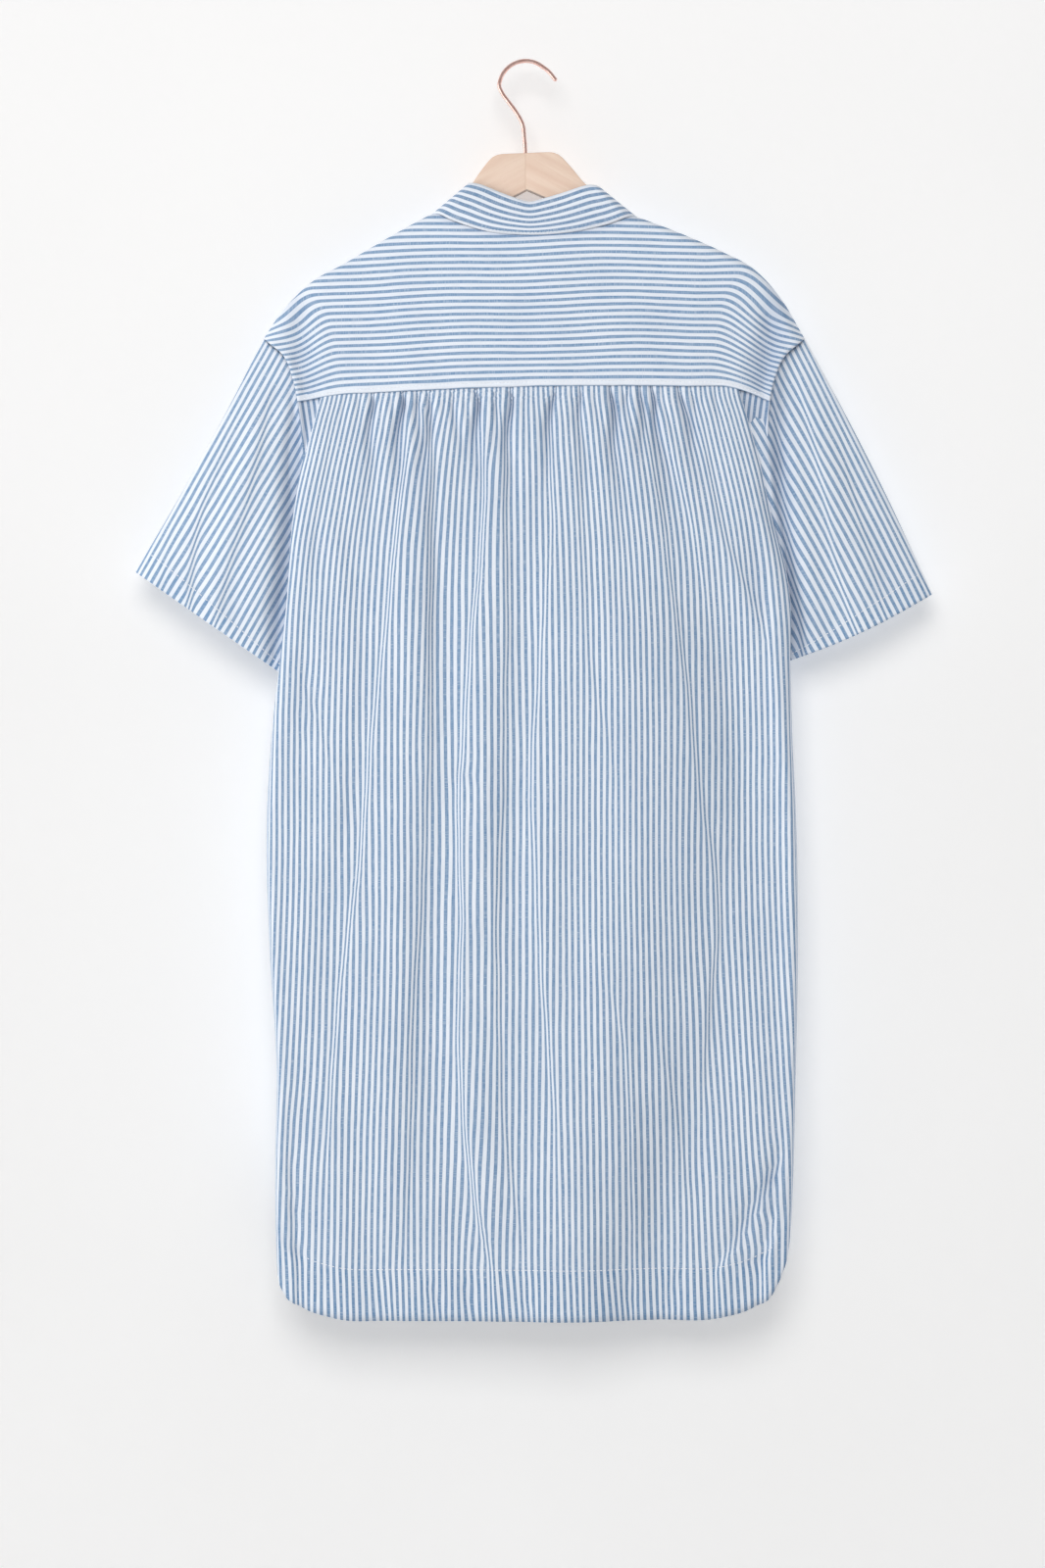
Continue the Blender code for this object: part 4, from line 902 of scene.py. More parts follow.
def put_in_scene(name, data):
    """An object with this mesh, curve, lamp or camera."""
    obj = bpy.data.objects.new(name, data)
    bpy.context.scene.collection.objects.link(obj)
    return obj


def as_object(name, mesh):
    """Makes a bmesh an object, and gives the bmesh up."""
    data = bpy.data.meshes.new(name)
    mesh.to_mesh(data)
    mesh.free()
    return put_in_scene(name, data)


def finish(name, mesh, material, replaces=()):
    """Puts a mesh in millimetres into the scene as a piece in metres, on the part's one body."""
    bmesh.ops.transform(mesh, matrix=Matrix.Scale(MM, 4), verts=mesh.verts)
    obj = as_object(name, mesh)
    obj.data.materials.append(material)
    obj.data.shade_smooth()
    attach(obj, "root")
    if replaces:
        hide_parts(*replaces)
    return obj


def add_grid(mesh, columns, rows):
    """A flat grid of so many columns and rows of points: the points, their places from 0 to 1, and the column
    and row of each."""
    first = len(mesh.verts)
    bmesh.ops.create_grid(mesh, x_segments=columns - 1, y_segments=rows - 1, size=0.5)
    mesh.verts.ensure_lookup_table()
    added = mesh.verts[first:]
    flat = np.array([vert.co[:2] for vert in added]) + 0.5
    column, row = np.rint(flat * (columns - 1, rows - 1)).astype(int).T
    return added, flat, column, row


def cloth(name, place, columns, rows, material, node, leave_out=None, side=None):
    """A thin shell of cloth. place gives its points, their cloth coordinates, and how far the cloth is
    doubled there and how much painted shade darkens it."""
    mesh = bmesh.new()
    _, _, column, row = add_grid(mesh, len(columns), len(rows))
    u, v = np.asarray(columns)[column], np.asarray(rows)[row]
    if side:
        points, level, hidden, marks = place(u, v)
        order = np.lexsort((column, row))
        coordinates = np.empty((len(points), 2))
        coordinates[order] = sleeve_coordinates(side, level[order], len(columns), len(rows))
        coordinates[:, 0] += hidden
    else:
        points, coordinates, marks = place(u, v)
    spare = []
    if leave_out:
        middles = [(face, face.calc_center_median()) for face in mesh.faces]
        spare = [face for face, c in middles if leave_out(c.x + 0.5, c.y + 0.5)]
    maps = mesh.loops.layers.uv.new("Cloth")
    marks = marks.reshape(len(points), -1)
    layers = [mesh.verts.layers.float.new(label) for label in ("doubled", "shaded")[: marks.shape[1]]]
    # A face behind a tuck's edge takes the coordinate of the corner that is folded under
    for face in mesh.faces:
        spots = coordinates[[loop.vert.index for loop in face.loops]]
        tucked = spots.shape[1] > 2 and spots[:, 2].mean() > 0
        for loop, spot in zip(face.loops, spots):
            loop[maps].uv = ((spot[3] if tucked else spot[0]) * MM, spot[1] * MM)
    for vert, point, values in zip(mesh.verts, points, marks):
        vert.co = Vector(point)
        for layer, value in zip(layers, values):
            vert[layer] = value
    if spare:
        bmesh.ops.delete(mesh, geom=spare, context="FACES")
    if side:
        bmesh.ops.remove_doubles(mesh, verts=mesh.verts, dist=0.01)
    obj = finish(name, mesh, material, [node])
    wall = obj.modifiers.new("Thickness", "SOLIDIFY")
    wall.thickness = THIN * MM
    wall.offset = 0.0
    return obj


def on_line(at, run, values):
    """The values of a line's points at distances along it."""
    return together(*[np.interp(at, run, values[:, k]) for k in range(3)])


def sew(name, lines, thread, length=STITCH, gap=STITCH_GAP, radius=THREAD):
    """Rows of small stitches. Each line is its points and, for each point, the way out of the cloth."""
    mesh = bmesh.new()
    for points, outward in lines:
        run = np.concatenate([[0], np.cumsum(np.linalg.norm(np.diff(points, axis=0), axis=1))])
        count = max(int(run[-1] / (length + gap)), 1)
        starts = np.arange(count) * run[-1] / count
        ends = starts + run[-1] / count - gap
        at = together(starts, starts * 0.8 + ends * 0.2, starts * 0.2 + ends * 0.8, ends).ravel()
        thick = np.tile([0.02, 1.0, 1.0, 0.02], count) * radius
        centre, out = on_line(at, run, points), on_line(at, run, outward)
        ahead = on_line(at + STITCH_LOOK, run, points) - on_line(at - STITCH_LOOK, run, points)
        side = np.cross(ahead, out)
        side /= np.linalg.norm(side, axis=1)[:, None]
        verts, flat, _, row = add_grid(mesh, THREAD_SIDES + 1, len(at))
        angle = flat[:, 0] * 2 * np.pi
        round_it = side[row] * np.cos(angle)[:, None] + out[row] * np.sin(angle)[:, None]
        places = centre[row] + round_it * thick[row][:, None]
        # The faces between one stitch and the next are taken out
        rows = {vert: int(k) for vert, k in zip(verts, row)}
        own = [face for face in mesh.faces if all(vert in rows for vert in face.verts)]
        between = [face for face in own if min(rows[vert] for vert in face.verts) % 4 == 3]
        for vert, place in zip(verts, places):
            vert.co = Vector(place)
        bmesh.ops.delete(mesh, geom=between, context="FACES")
        mesh.verts.index_update()
    bmesh.ops.remove_doubles(mesh, verts=mesh.verts, dist=0.02)
    bmesh.ops.recalc_face_normals(mesh, faces=mesh.faces)
    return finish(name, mesh, thread)


def on_cloth(place, u, v, out_y):
    """A line of sewing on a piece of cloth, raised to lie on it: its points and the way out of the cloth."""
    points = np.array(place(u, v)[0])
    outward = np.zeros_like(points)
    outward[:, 1] = out_y
    points[:, 1] += STITCH_RISE * np.sign(out_y)
    return points, outward


def share_down(place, u, above):
    """v at which each column of a hanging piece is this far above its lower edge."""
    top, foot = place(u, np.zeros_like(u))[0][:, 2], place(u, np.ones_like(u))[0][:, 2]
    return 1 - above / (top - foot)


def make_sewing(thread):
    """The rows of stitches: hems, yoke, cuffs, band and button band."""
    u = np.linspace(*BACK_HEM_SEWN, 1200)
    hem = on_cloth(back_panel_point, u, share_down(back_panel_point, u, HEM_DEPTH), BACK)
    sew("back_hem_stitching", [hem], thread)
    for side in ("left", "right"):
        place = partial(front_point, side)
        u = np.linspace(0.004, 0.99, 700)
        hem = on_cloth(place, u, share_down(place, u, HEM_DEPTH), FRONT)
        sew(f"front_{side}_hem_stitching", [hem], thread)
    u = np.linspace(0.006, 0.994, 1000)
    edge = on_cloth(yoke_point, u, np.full_like(u, YOKE_STITCH_SHARE), BACK)
    fronts = ((0.01, NECK_LEFT_SHARE - 0.012), (NECK_RIGHT_SHARE + 0.012, 0.99))
    sides = [np.linspace(start, end, 300) for start, end in fronts]
    over = [on_cloth(yoke_point, u, np.full_like(u, 0.985), FRONT) for u in sides]
    sew("yoke_stitching", [edge] + over, thread)
    for side in SLEEVES:
        place = partial(sleeve_point, side)
        rows = []
        for start, end, out_y in ((0.02, 0.485, FRONT), (0.515, 0.98, BACK)):
            u = np.linspace(start, end, 700)
            rows.append(on_cloth(place, u, np.full_like(u, 1 - CUFF_HEM / SLEEVE_LENGTH), out_y))
        sew(f"cuff_{side}_stitching", rows, thread)
    rows = []
    for start, end, out_y in ((0.005, 0.27, FRONT), (0.33, 0.69, BACK), (0.74, 0.995, FRONT)):
        u = np.linspace(start, end, 300)
        rows.append(on_cloth(band_point, u, np.full_like(u, BAND_STITCH_SHARE), out_y))
    sew("band_stitching", rows, thread)
    rows = []
    for share in PLACKET_STITCH_SHARES:
        v = np.linspace(0.002, 0.998, 500)
        rows.append(on_cloth(placket_point, np.full_like(v, share), v, FRONT))
    sew("placket_stitching", rows, thread)


def make_buttonholes(thread):
    """An upright oval of close stitches round the slit under each button, and a level one on the band."""
    rows = []
    angle = np.linspace(0, 2 * np.pi, 60)
    along = HOLE_LENGTH / 2 * np.cos(angle)
    over = 0.9 * np.sign(np.sin(angle)) * abs(np.sin(angle)) ** 0.5
    for name, height in BUTTONS.items():
        if name == "button_band":
            middle = (CENTRE_FRONT - 4.0, height)
            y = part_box(name)[0][1] / MM - 0.4
            x, z = along, over
        else:
            middle = (CENTRE_FRONT, height + 3.0)
            y = front_surface(np.array([middle[0]]), np.array([middle[1]]))[0] + LAP + 1.0
            x, z = over, along
        points = together(middle[0] + x, np.full_like(angle, y), middle[1] + z)
        rows.append((points, np.tile([0.0, 1.0, 0.0], (len(angle), 1))))
    sew("buttonhole_stitching", rows, thread, length=0.9, gap=0.06, radius=0.42)


def uneven(*stretches):
    """Places from 0 to 1: each stretch is its end and the number of steps to it."""
    places, start = [0.0], 0.0
    for end, steps in stretches:
        places += [start + (end - start) * (k + 1) / steps for k in range(steps)]
        start = end
    return places


def new_group(name, inputs, outputs):
    """A shader group with named sockets. inputs and outputs give each socket's name, kind and value."""
    group = bpy.data.node_groups.new(name, "ShaderNodeTree")
    for in_out, sockets in (("INPUT", inputs), ("OUTPUT", outputs)):
        for label, kind, value in sockets:
            socket = group.interface.new_socket(label, in_out=in_out, socket_type=f"NodeSocket{kind}")
            if value is not None:
                socket.default_value = value
    return group, group.nodes.new("NodeGroupInput"), group.nodes.new("NodeGroupOutput")


class Nodes:
    """Short ways to add nodes to a material's or group's tree. A value may be a number or a socket."""

    def __init__(self, tree):
        self.tree = tree

    def put(self, socket, value):
        if isinstance(value, bpy.types.NodeSocket):
            self.tree.links.new(value, socket)
        elif value is not None:
            socket.default_value = value

    def add(self, kind, inputs=None, **settings):
        node = self.tree.nodes.new(f"ShaderNode{kind}")
        for name, value in settings.items():
            setattr(node, name, value)
        for name, value in (inputs or {}).items():
            self.put(node.inputs[name], value)
        return node

    def math(self, operation, *values):
        node = self.add("Math", operation=operation)
        for socket, value in zip(node.inputs, values):
            self.put(socket, value)
        return node.outputs[0]

    def step(self, value, low, high, to_low=0.0, to_high=1.0):
        node = self.add("MapRange", interpolation_type="SMOOTHSTEP")
        for socket, given in zip(node.inputs, (value, low, high, to_low, to_high)):
            self.put(socket, given)
        return node.outputs[0]

    def mix(self, share, first, second, blend_type="MIX"):
        node = self.add("Mix", data_type="RGBA", blend_type=blend_type)
        self.put(node.inputs[0], share)
        self.put(node.inputs[6], first)
        self.put(node.inputs[7], second)
        return node.outputs[2]

    def noise(self, vector, scale, detail=2.0, roughness=0.5):
        inputs = {"Vector": vector, "Scale": scale, "Detail": detail, "Roughness": roughness}
        return self.add("TexNoise", inputs).outputs[0]

    def vector(self, x, y, z=0.0):
        node = self.add("CombineXYZ")
        for socket, value in zip(node.inputs, (x, y, z)):
            self.put(socket, value)
        return node.outputs[0]

    def times(self, value, factor):
        return self.math("MULTIPLY", value, factor)

    def streaks(self, x, y, scales, detail, z=0.0):
        """Noise that runs at its own scale along each of two directions."""
        return self.noise(self.vector(self.times(x, scales[0]), self.times(y, scales[1]), z), 1.0, detail)

    def own_place(self):
        return self.add("TexCoord").outputs["Object"]


def new_material(name):
    """A material, its nodes and its shader."""
    material = bpy.data.materials.new(name)
    material.use_nodes = True
    return material, Nodes(material.node_tree), material.node_tree.nodes["Principled BSDF"]


def make_mottled(name, scale, detail, first, second, rough, **constants):
    """A material that changes softly from one colour to another. rough is one value, or a pair."""
    material, n, shader = new_material(name)
    patches = n.noise(n.own_place(), scale, detail)
    n.put(shader.inputs["Base Color"], n.mix(n.step(patches, 0.3, 0.7), (*first, 1), (*second, 1)))
    changes = isinstance(rough, tuple)
    n.put(shader.inputs["Roughness"], n.step(patches, 0.3, 0.7, *rough) if changes else rough)
    for label, value in constants.items():
        shader.inputs[label.replace("_", " ")].default_value = value
    return material


def make_stripe_group():
    """Yarn-dyed stripes in plain weave: white and slubby blue, with faint weft lines, soft wrinkles and
    painted shade.
    """
    inputs = [
        ("Cloth", "Vector", None),
        ("Repeat", "Float", STRIPE * MM),
        ("Shift", "Float", 0.0),
        ("Blue Share", "Float", 0.47),
        ("White", "Color", (0.83, 0.87, 0.935, 1)),
        ("Blue", "Color", (0.115, 0.25, 0.44, 1)),
        ("Doubled", "Float", 0.0),
        ("Shaded", "Float", 0.0),
    ]
    outputs = [("Color", "Color", None), ("Blueness", "Float", None), ("Height", "Float", None)]
    group, given, result = new_group("Woven stripes", inputs, outputs)
    n = Nodes(group)
    blue, white = given.outputs["Blue"], given.outputs["White"]
    split = n.add("SeparateXYZ", {"Vector": given.outputs["Cloth"]})
    across, along = split.outputs[0], split.outputs[1]
    wander = n.times(n.math("SUBTRACT", n.streaks(across, along, (60.0, 22.0), 2.0), 0.5), 0.0011)
    place = n.math("ADD", n.math("ADD", across, wander), given.outputs["Shift"])
    turn = n.math("FRACT", n.math("DIVIDE", place, given.outputs["Repeat"]))
    off = n.math("ABSOLUTE", n.math("SUBTRACT", turn, 0.5))
    half = n.times(given.outputs["Blue Share"], 0.5)
    blueness = n.step(off, n.math("ADD", half, STRIPE_BLUR), n.math("SUBTRACT", half, STRIPE_BLUR))
    slub = n.streaks(across, along, (1500.0, 90.0), 3.0)
    weft = n.streaks(across, along, (70.0, 2100.0), 2.0)
    cloudy = n.noise(given.outputs["Cloth"], 22.0, 2.0)
    slubby = n.mix(n.times(n.step(slub, 0.30, 0.75), 0.62), blue, n.mix(0.32, blue, white))
    slubby = n.mix(n.times(n.step(weft, 0.45, 0.75), 0.42), slubby, white)
    plain = n.mix(n.step(weft, 0.35, 0.8, 0.0, 0.10), white, blue)
    cover = n.times(blueness, n.math("ADD", 0.93, n.times(given.outputs["Doubled"], 0.07)))
    colour = n.mix(cover, plain, slubby)
    colour = n.mix(n.step(cloudy, 0.25, 0.75, 0.0, 0.07), colour, blue)
    # Painted shade: the colour is darkened where the cloth is marked as shaded, in creases and recesses
    colour = n.mix(given.outputs["Shaded"], colour, CREASE_PAINTED_SHADE, "MULTIPLY")
    crumple = n.noise(n.vector(across, n.times(along, 0.45)), 75.0, 3.0, 0.55)
    fine = n.noise(n.vector(across, n.times(along, 0.7)), 420.0, 2.0)
    height = n.math("ADD", n.times(crumple, 1.0), n.times(fine, 0.16))
    height = n.math("ADD", height, n.times(weft, 0.03))
    n.put(result.inputs["Color"], colour)
    n.put(result.inputs["Blueness"], blueness)
    n.put(result.inputs["Height"], height)
    return group


def make_cotton(name, stripe_group, **looks):
    """Striped cotton. looks are those values of the stripe group that differ from its own."""
    material, n, shader = new_material(name)
    stripes = n.add("Group", node_tree=stripe_group)
    n.put(stripes.inputs["Cloth"], n.add("UVMap", uv_map="Cloth").outputs[0])
    # The shaded attribute carries the painted shade of creases and recesses
    for mark in ("doubled", "shaded"):
        spread = n.add("Attribute", attribute_name=mark)
        n.put(stripes.inputs[mark.title()], spread.outputs["Fac"])
    for label, value in looks.items():
        n.put(stripes.inputs[label.replace("_", " ").title()], value)
    bump = n.add("Bump", {"Strength": 0.9, "Distance": 0.0011, "Height": stripes.outputs["Height"]})
    n.put(shader.inputs["Base Color"], stripes.outputs["Color"])
    n.put(shader.inputs["Normal"], bump.outputs[0])
    n.put(shader.inputs["Roughness"], n.step(stripes.outputs["Blueness"], 0.0, 1.0, 0.86, 0.92))
    shader.inputs["Specular IOR Level"].default_value = 0.22
    shader.inputs["Sheen Weight"].default_value = 0.12
    shader.inputs["Sheen Roughness"].default_value = 0.5
    return material


def make_wood_material():
    """Pale beech in two glued halves, with fine slanting grain, and painted shade on the left half."""
    material, n, shader = new_material("Pale beech")
    split = n.add("SeparateXYZ", {"Vector": n.own_place()})
    x, y, z = split.outputs
    from_glue = n.math("SUBTRACT", x, WOOD_TOP.x * MM)
    right = n.step(from_glue, -0.0002, 0.0002)
    lean = n.math("SUBTRACT", n.times(right, 1.05), 0.50)
    fibre = n.math("ADD", z, n.times(x, lean))
    long_way = n.math("SUBTRACT", x, n.times(z, lean))
    drawn = n.vector(n.times(fibre, 620.0), n.times(long_way, 26.0), n.times(y, 200.0))
    grain = n.noise(drawn, 1.0, 4.0, 0.6)
    rings = n.streaks(fibre, long_way, (120.0, 9.0), 2.0, y)
    pores = n.streaks(fibre, long_way, (2600.0, 160.0), 1.0, y)
    colour = n.mix(n.step(rings, 0.3, 0.7), (0.76, 0.555, 0.435, 1), (0.82, 0.64, 0.515, 1))
    colour = n.mix(n.step(grain, 0.35, 0.75, 0.0, 0.22), colour, (0.68, 0.45, 0.32, 1))
    colour = n.mix(n.step(pores, 0.62, 0.75, 0.0, 0.22), colour, (0.52, 0.32, 0.20, 1))
    glue = n.step(n.math("ABSOLUTE", from_glue), 0.0009, 0.0001, 0.0, 0.35)
    colour = n.mix(glue, colour, (0.58, 0.38, 0.25, 1))
    # Painted shade: the left half is darkened a little, against the key lamp's brighter light on that side
    left = n.math("SUBTRACT", 1.0, right)
    colour = n.mix(n.times(left, 0.18), colour, (0.62, 0.45, 0.35, 1))
    n.put(shader.inputs["Base Color"], colour)
    n.put(shader.inputs["Roughness"], n.step(grain, 0.3, 0.7, 0.44, 0.56))
    bump = n.add("Bump", {"Strength": 0.25, "Distance": 0.0003, "Height": grain})
    n.put(shader.inputs["Normal"], bump.outputs[0])
    return material


def make_thread():
    tones = (0.86, 0.88, 0.92), (0.95, 0.96, 0.98)
    return make_mottled("White sewing thread", 900.0, 2.0, *tones, 0.7, Sheen_Weight=0.2)


def make_copper():
    tones = (0.95, 0.58, 0.50), (0.99, 0.70, 0.63)
    return make_mottled("Rose copper wire", 240.0, 3.0, *tones, (0.22, 0.32), Metallic=0.75)


def make_shell():
    tones = (0.80, 0.80, 0.78), (0.90, 0.90, 0.88)
    return make_mottled("White button", 260.0, 3.0, *tones, (0.18, 0.3), Coat_Weight=0.3)


def make_back_panel(cotton):
    """The panel's columns lie closer together at the gathers, and its rows at the gathers and the hem."""
    spots = np.linspace(0, 1, 2001)
    x = from_left(YOKE_SEAM, spots)
    gathers = zip(GATHERS["x"], GATHERS["hides"])
    close = 1 + sum(0.28 * hides * np.exp(-(((x - at) / 4) ** 2)) for at, hides in gathers)
    crowd = np.concatenate([[0], np.cumsum(close[:-1])])
    columns = np.interp(np.linspace(0, crowd[-1], PANEL_COLUMNS), crowd, spots)
    rows = uneven((20 / PANEL_HEIGHT, 11), (110 / PANEL_HEIGHT, 22), (0.93, 52), (0.955, 6), (1.0, 4))
    panel = cloth("back_panel_cloth", back_panel_point, columns, rows, cotton, "back_panel")


def in_neck(u, v):
    """Whether a face of the yoke, by its place in the flat grid, lies in the opening of the neck."""
    return NECK_LEFT_SHARE < u < NECK_RIGHT_SHARE and v > YOKE_ROWS[0] / sum(YOKE_ROWS)


def make_yoke(cotton):
    across = np.linspace(0, 1, 261)
    up = uneven((YOKE_TURN, YOKE_ROWS[0]), (1.0, YOKE_ROWS[1]))
    yoke = cloth("yoke_cloth", yoke_point, across, up, cotton, "yoke", in_neck)


def make_fronts(cotton):
    down = uneven((0.2, 20), (0.93, 66), (0.96, 6), (1.0, 5))
    for side in ("left", "right"):
        name = f"front_{side}_cloth"
        across = np.linspace(0, 1, 181)
        place = partial(front_point, side)
        front = cloth(name, place, across, down, cotton, f"front_{side}")
    across, down = uneven((1, 12)), uneven((1, 160))
    strip = cloth("placket_cloth", placket_point, across, down, cotton, "placket")


def make_band(cotton):
    around = uneven((0.27, 60), (0.34, 36), (0.66, 110), (0.74, 36), (1, 60))
    up = uneven((1, 14))
    band = cloth("collar_band_cloth", band_point, around, up, cotton, "collar_band")


def make_sleeves(cotton):
    around = uneven((0.42, 70), (0.5, 24), (0.58, 24), (1.0, 70))
    along = uneven((0.1, 12), (0.9, 76), (0.93, 5), (1.0, 6))
    for side in SLEEVES:
        node = f"sleeve_{side}"
        place = partial(sleeve_point, side)
        sleeve = cloth(f"{node}_cloth", place, around, along, cotton[side], node, side=side)


def make_wood(wood):
    """The hanger's body: its outline given a thickness and its edges rounded."""
    at = run_along(ARM_TOP["x"], ARM_TOP["z"])
    places = np.linspace(0, at[-1], OUTLINE_STEPS)
    right = list(zip(smooth(places, at, ARM_TOP["x"]), smooth(places, at, ARM_TOP["z"]))) + ARM_END
    outline = right + [ARM_NOTCH] + [(-x, z) for x, z in reversed(right)]
    mesh = bmesh.new()
    corners = [mesh.verts.new((x, -WOOD_THICK / 2, z)) for x, z in outline]
    face = mesh.faces.new(corners)
    moved = bmesh.ops.extrude_face_region(mesh, geom=[face])["geom"]
    far = [item for item in moved if isinstance(item, bmesh.types.BMVert)]
    bmesh.ops.translate(mesh, vec=(0, WOOD_THICK, 0), verts=far)
    bmesh.ops.recalc_face_normals(mesh, faces=mesh.faces)
    rims = [edge for edge in mesh.edges if abs(edge.verts[0].co.y - edge.verts[1].co.y) < 0.1]
    bevel = dict(offset_type="OFFSET", profile=0.5, affect="EDGES", material=-1, clamp_overlap=True)
    bmesh.ops.bevel(mesh, geom=rims, offset=NECK_ROUND, segments=3, **bevel)
    tilt = Matrix.Translation(WOOD_TOP) @ Matrix.Rotation(-WOOD_TILT, 4, "Y")
    bmesh.ops.transform(mesh, matrix=tilt, verts=mesh.verts)
    body = finish("hanger_wood", mesh, wood, ["hanger_body"])
    body.data.set_sharp_from_angle(angle=np.radians(50))


def make_hook(copper):
    """The wire, drawn along its middle line, with a round tip."""
    start, end = np.radians(HOOK_START), np.radians(HOOK_END)
    loop = []
    for k in range(HOOK_STEPS + 1):
        angle = start + (end - start) * k / HOOK_STEPS
        opened = HOOK_OPENED * (1 - k / HOOK_STEPS) ** 2
        loop.append((HOOK_RADIUS * np.cos(angle) - opened, HOOK_CENTRE_Z + HOOK_RADIUS * np.sin(angle)))
    loop = [(x, z) for x, z in loop if z > HOOK_CENTRE_Z - HOOK_LOW and (x < HOOK_OUT[0] or z > HOOK_OUT[1])]
    foot = [(WOOD_TOP.x, WOOD_TOP.z - WIRE_DEPTH + 0.5), (WOOD_TOP.x, WOOD_TOP.z)]
    points = np.array(foot + HOOK_STEM + loop + HOOK_TIP, float)
    run = run_along(*points.T)
    tip = WIRE_RADIUS * (1 - np.cos(np.linspace(np.pi / 2, 0.12, 7)))
    places = np.concatenate([np.linspace(0, run[-1] - WIRE_RADIUS, 220), run[-1] - tip[1:]])
    curve = bpy.data.curves.new("hook line", "CURVE")
    curve.dimensions = "3D"
    curve.bevel_depth = WIRE_RADIUS * MM
    curve.bevel_resolution = 5
    curve.use_fill_caps = True
    spline = curve.splines.new("POLY")
    spline.points.add(len(places) - 1)
    for point, at in zip(spline.points, places):
        x, z = smooth(at, run, points[:, 0]), smooth(at, run, points[:, 1])
        point.co = (x * MM, 0, z * MM, 1)
        left = np.clip((run[-1] - at) / WIRE_RADIUS, 0, 1)
        point.radius = max(np.sqrt(1 - (1 - left) ** 2), 0.05)
    wire = put_in_scene("hook line", curve)
    bpy.context.view_layer.update()
    mesh = bmesh.new()
    mesh.from_mesh(wire.evaluated_get(bpy.context.evaluated_depsgraph_get()).to_mesh())
    bpy.data.objects.remove(wire)
    bmesh.ops.remove_doubles(mesh, verts=mesh.verts, dist=1e-6)
    bmesh.ops.transform(mesh, matrix=Matrix.Scale(1 / MM, 4), verts=mesh.verts)
    finish("hanger_wire", mesh, copper, ["hanger_hook"])


def make_button_mesh():
    """A four-hole shirt button, its face towards +Z and its back at z = 0."""
    mesh = bmesh.new()
    verts = [mesh.verts.new((radius, 0, z)) for radius, z in BUTTON_PROFILE]
    edges = [mesh.edges.new(pair) for pair in zip(verts, verts[1:])]
    spin = dict(cent=(0, 0, 0), axis=(0, 0, 1), angle=2 * np.pi, steps=40, use_merge=True)
    bmesh.ops.spin(mesh, geom=verts + edges, **spin)
    bmesh.ops.remove_doubles(mesh, verts=mesh.verts, dist=0.001)
    bmesh.ops.recalc_face_normals(mesh, faces=mesh.faces)
    drill = bmesh.new()
    for k in range(4):
        spot = Matrix.Rotation(np.pi / 4 + k * np.pi / 2, 4, "Z") @ Matrix.Translation((HOLE_OUT, 0, 1))
        size = dict(segments=14, radius1=HOLE_RADIUS, radius2=HOLE_RADIUS, depth=4)
        bmesh.ops.create_cone(drill, cap_ends=True, matrix=spot, **size)
    blank, bit = as_object("blank", mesh), as_object("drill", drill)
    holes = blank.modifiers.new("Holes", "BOOLEAN")
    holes.object = bit
    bpy.context.view_layer.update()
    drilled = bpy.data.meshes.new_from_object(blank.evaluated_get(bpy.context.evaluated_depsgraph_get()))
    for obj in (blank, bit):
        bpy.data.objects.remove(obj)
    return drilled


def make_buttons(shell, thread):
    """The buttons, each turned a little more than the last, with two threads through each pair of holes."""
    drilled = make_button_mesh()
    hole = HOLE_OUT * 0.7  # to each side of the middle, and up and down from it
    for k, (name, height) in enumerate(BUTTONS.items()):
        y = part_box(name)[0][1] / MM
        turn = Matrix.Rotation(-np.pi / 2, 4, "X") @ Matrix.Rotation(0.3 * k, 4, "Z")
        place = Matrix.Translation((CENTRE_FRONT, y, height)) @ turn
        mesh = bmesh.new()
        mesh.from_mesh(drilled)
        bmesh.ops.transform(mesh, matrix=place, verts=mesh.verts)
        button = finish(f"{name}_shell", mesh, shell, [name])
        button.data.set_sharp_from_angle(angle=np.radians(40))
        bars = []
        for side in (-1, 1):
            for way in (-1, 1):
                ends = [(side * hole, way * 0.4, 1.15), (side * hole, -way * hole, 1.35)]
                ends.append((side * hole, -way * HOLE_OUT * 0.9, 0.4))
                points = np.array([place @ Vector(end) for end in ends])
                bars.append((points, np.tile([0.0, 1.0, 0.0], (3, 1))))
        sew(f"{name}_thread", bars, thread, length=9, gap=0.0, radius=0.34)


def make_room_side(name, material, turn, place, size):
    mesh = bmesh.new()
    bmesh.ops.create_grid(mesh, x_segments=1, y_segments=1, size=size)
    bmesh.ops.transform(mesh, matrix=Matrix.Translation(place) @ turn, verts=mesh.verts)
    obj = as_object(name, mesh)
    obj.data.materials.append(material)
    return obj


def make_room():
    """A wall, clear from behind and with no shadow of its own, and a floor."""
    tones = (0.91, 0.905, 0.90), (0.93, 0.925, 0.92)
    glow = dict(Emission_Color=(1, 1, 1, 1), Emission_Strength=WALL_GLOW)
    plaster = make_mottled("Pale wall", 2.0, 2.0, *tones, 0.9, **glow)
    n = Nodes(plaster.node_tree)
    nodes = plaster.node_tree.nodes
    behind = n.add("NewGeometry").outputs["Backfacing"]
    sides = {0: behind, 1: nodes["Principled BSDF"].outputs[0], 2: n.add("BsdfTransparent").outputs[0]}
    n.put(nodes["Material Output"].inputs["Surface"], n.add("MixShader", sides).outputs[0])
    upright = Matrix.Rotation(np.pi / 2, 4, "X")
    wall = make_room_side("wall", plaster, upright, (0, WALL_Y, 0.2), 2.0)
    wall.visible_shadow = False

    tones = (0.80, 0.80, 0.80), (0.82, 0.82, 0.82)
    boards = make_mottled("Pale floor", 2.0, 2.0, *tones, 0.8)
    make_room_side("floor", boards, Matrix.Identity(4), (0, 0, FLOOR_Z), 4.0)


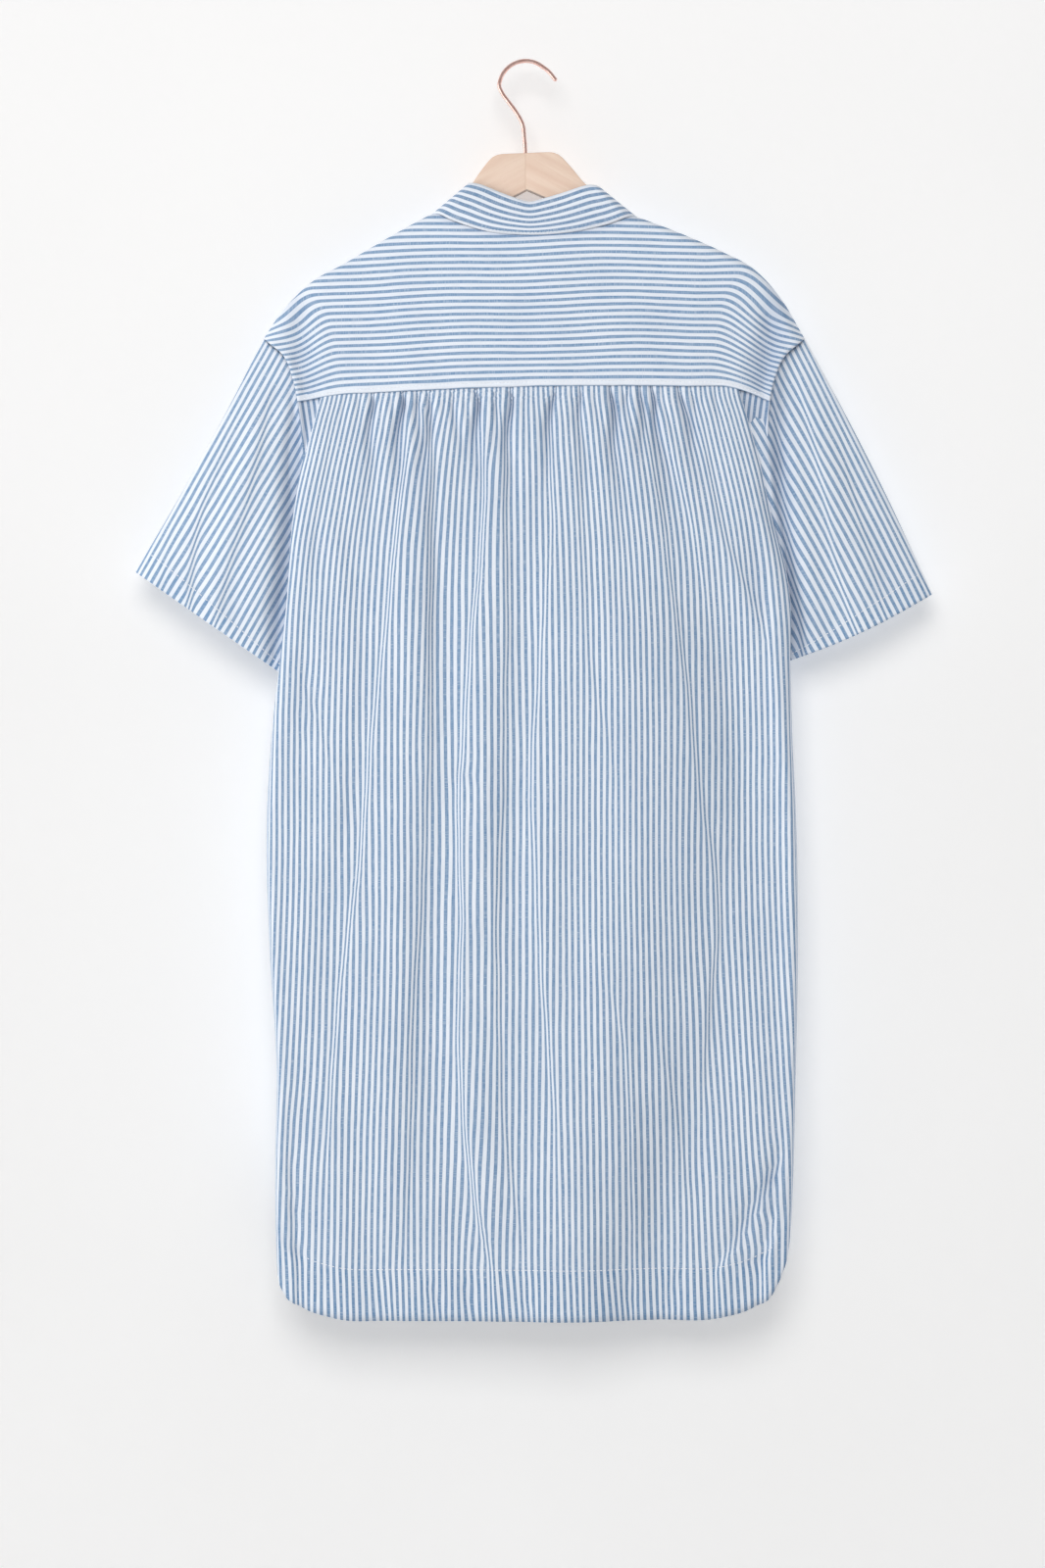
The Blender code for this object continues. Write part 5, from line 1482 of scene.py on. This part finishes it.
def make_camera():
    camera = bpy.data.cameras.new("camera")
    camera.lens = CAMERA_LENS
    camera.sensor_width = CAMERA_SENSOR
    obj = put_in_scene("camera", camera)
    obj.location = CAMERA_PLACE
    obj.rotation_euler = (np.pi / 2, 0, 0)
    bpy.context.scene.camera = obj


def add_lamp(name, power, place, width, height, colour):
    lamp = bpy.data.lights.new(name, "AREA")
    lamp.energy = power
    lamp.color = colour
    lamp.shape = "RECTANGLE"
    lamp.size = width
    lamp.size_y = height
    obj = put_in_scene(name, lamp)
    obj.location = place
    obj.rotation_euler = (Vector(LIT_SPOT) - Vector(place)).to_track_quat("-Z", "Y").to_euler()
    return obj


def make_light():
    world = bpy.data.worlds.new("studio")
    bpy.context.scene.world = world
    world.use_nodes = True
    sky = world.node_tree.nodes["Background"]
    sky.inputs["Color"].default_value = SKY
    sky.inputs["Strength"].default_value = SKY_STRENGTH
    lamps = {row[0]: add_lamp(*row) for row in LAMPS}
    for label, piece, kept_off in UNLIT:
        spared = bpy.data.collections.new(label)
        spared.objects.link(bpy.data.objects[piece])
        for name in kept_off:
            lamps[name].light_linking.receiver_collection = spared
        spared.collection_objects[0].light_linking.link_state = "EXCLUDE"
    bpy.context.scene.view_settings.view_transform = "Standard"


def main():
    stripes = make_stripe_group()
    # The body's cotton is the yoke's cloth made darker, with deeper white and blue and a little more blue:
    # painted shade for the body below the yoke
    body = dict(blue_share=0.49, white=(0.81, 0.85, 0.915, 1), blue=(0.10, 0.225, 0.405, 1))
    band = dict(blue_share=0.51, blue=(0.095, 0.215, 0.39, 1), shift=BAND_SHIFT * MM)
    body_cotton = make_cotton("Striped cotton", stripes, **body)
    make_back_panel(body_cotton)
    make_yoke(make_cotton("Striped cotton cut crosswise", stripes))
    make_fronts(body_cotton)
    make_band(make_cotton("Striped cotton of the band", stripes, **band))
    make_sleeves({side: make_cotton(f"Striped cotton of the {side} sleeve", stripes) for side in SLEEVES})
    thread = make_thread()
    make_sewing(thread)
    make_buttonholes(thread)
    make_buttons(make_shell(), thread)
    make_wood(make_wood_material())
    make_hook(make_copper())
    make_room()
    make_camera()
    make_light()


main()
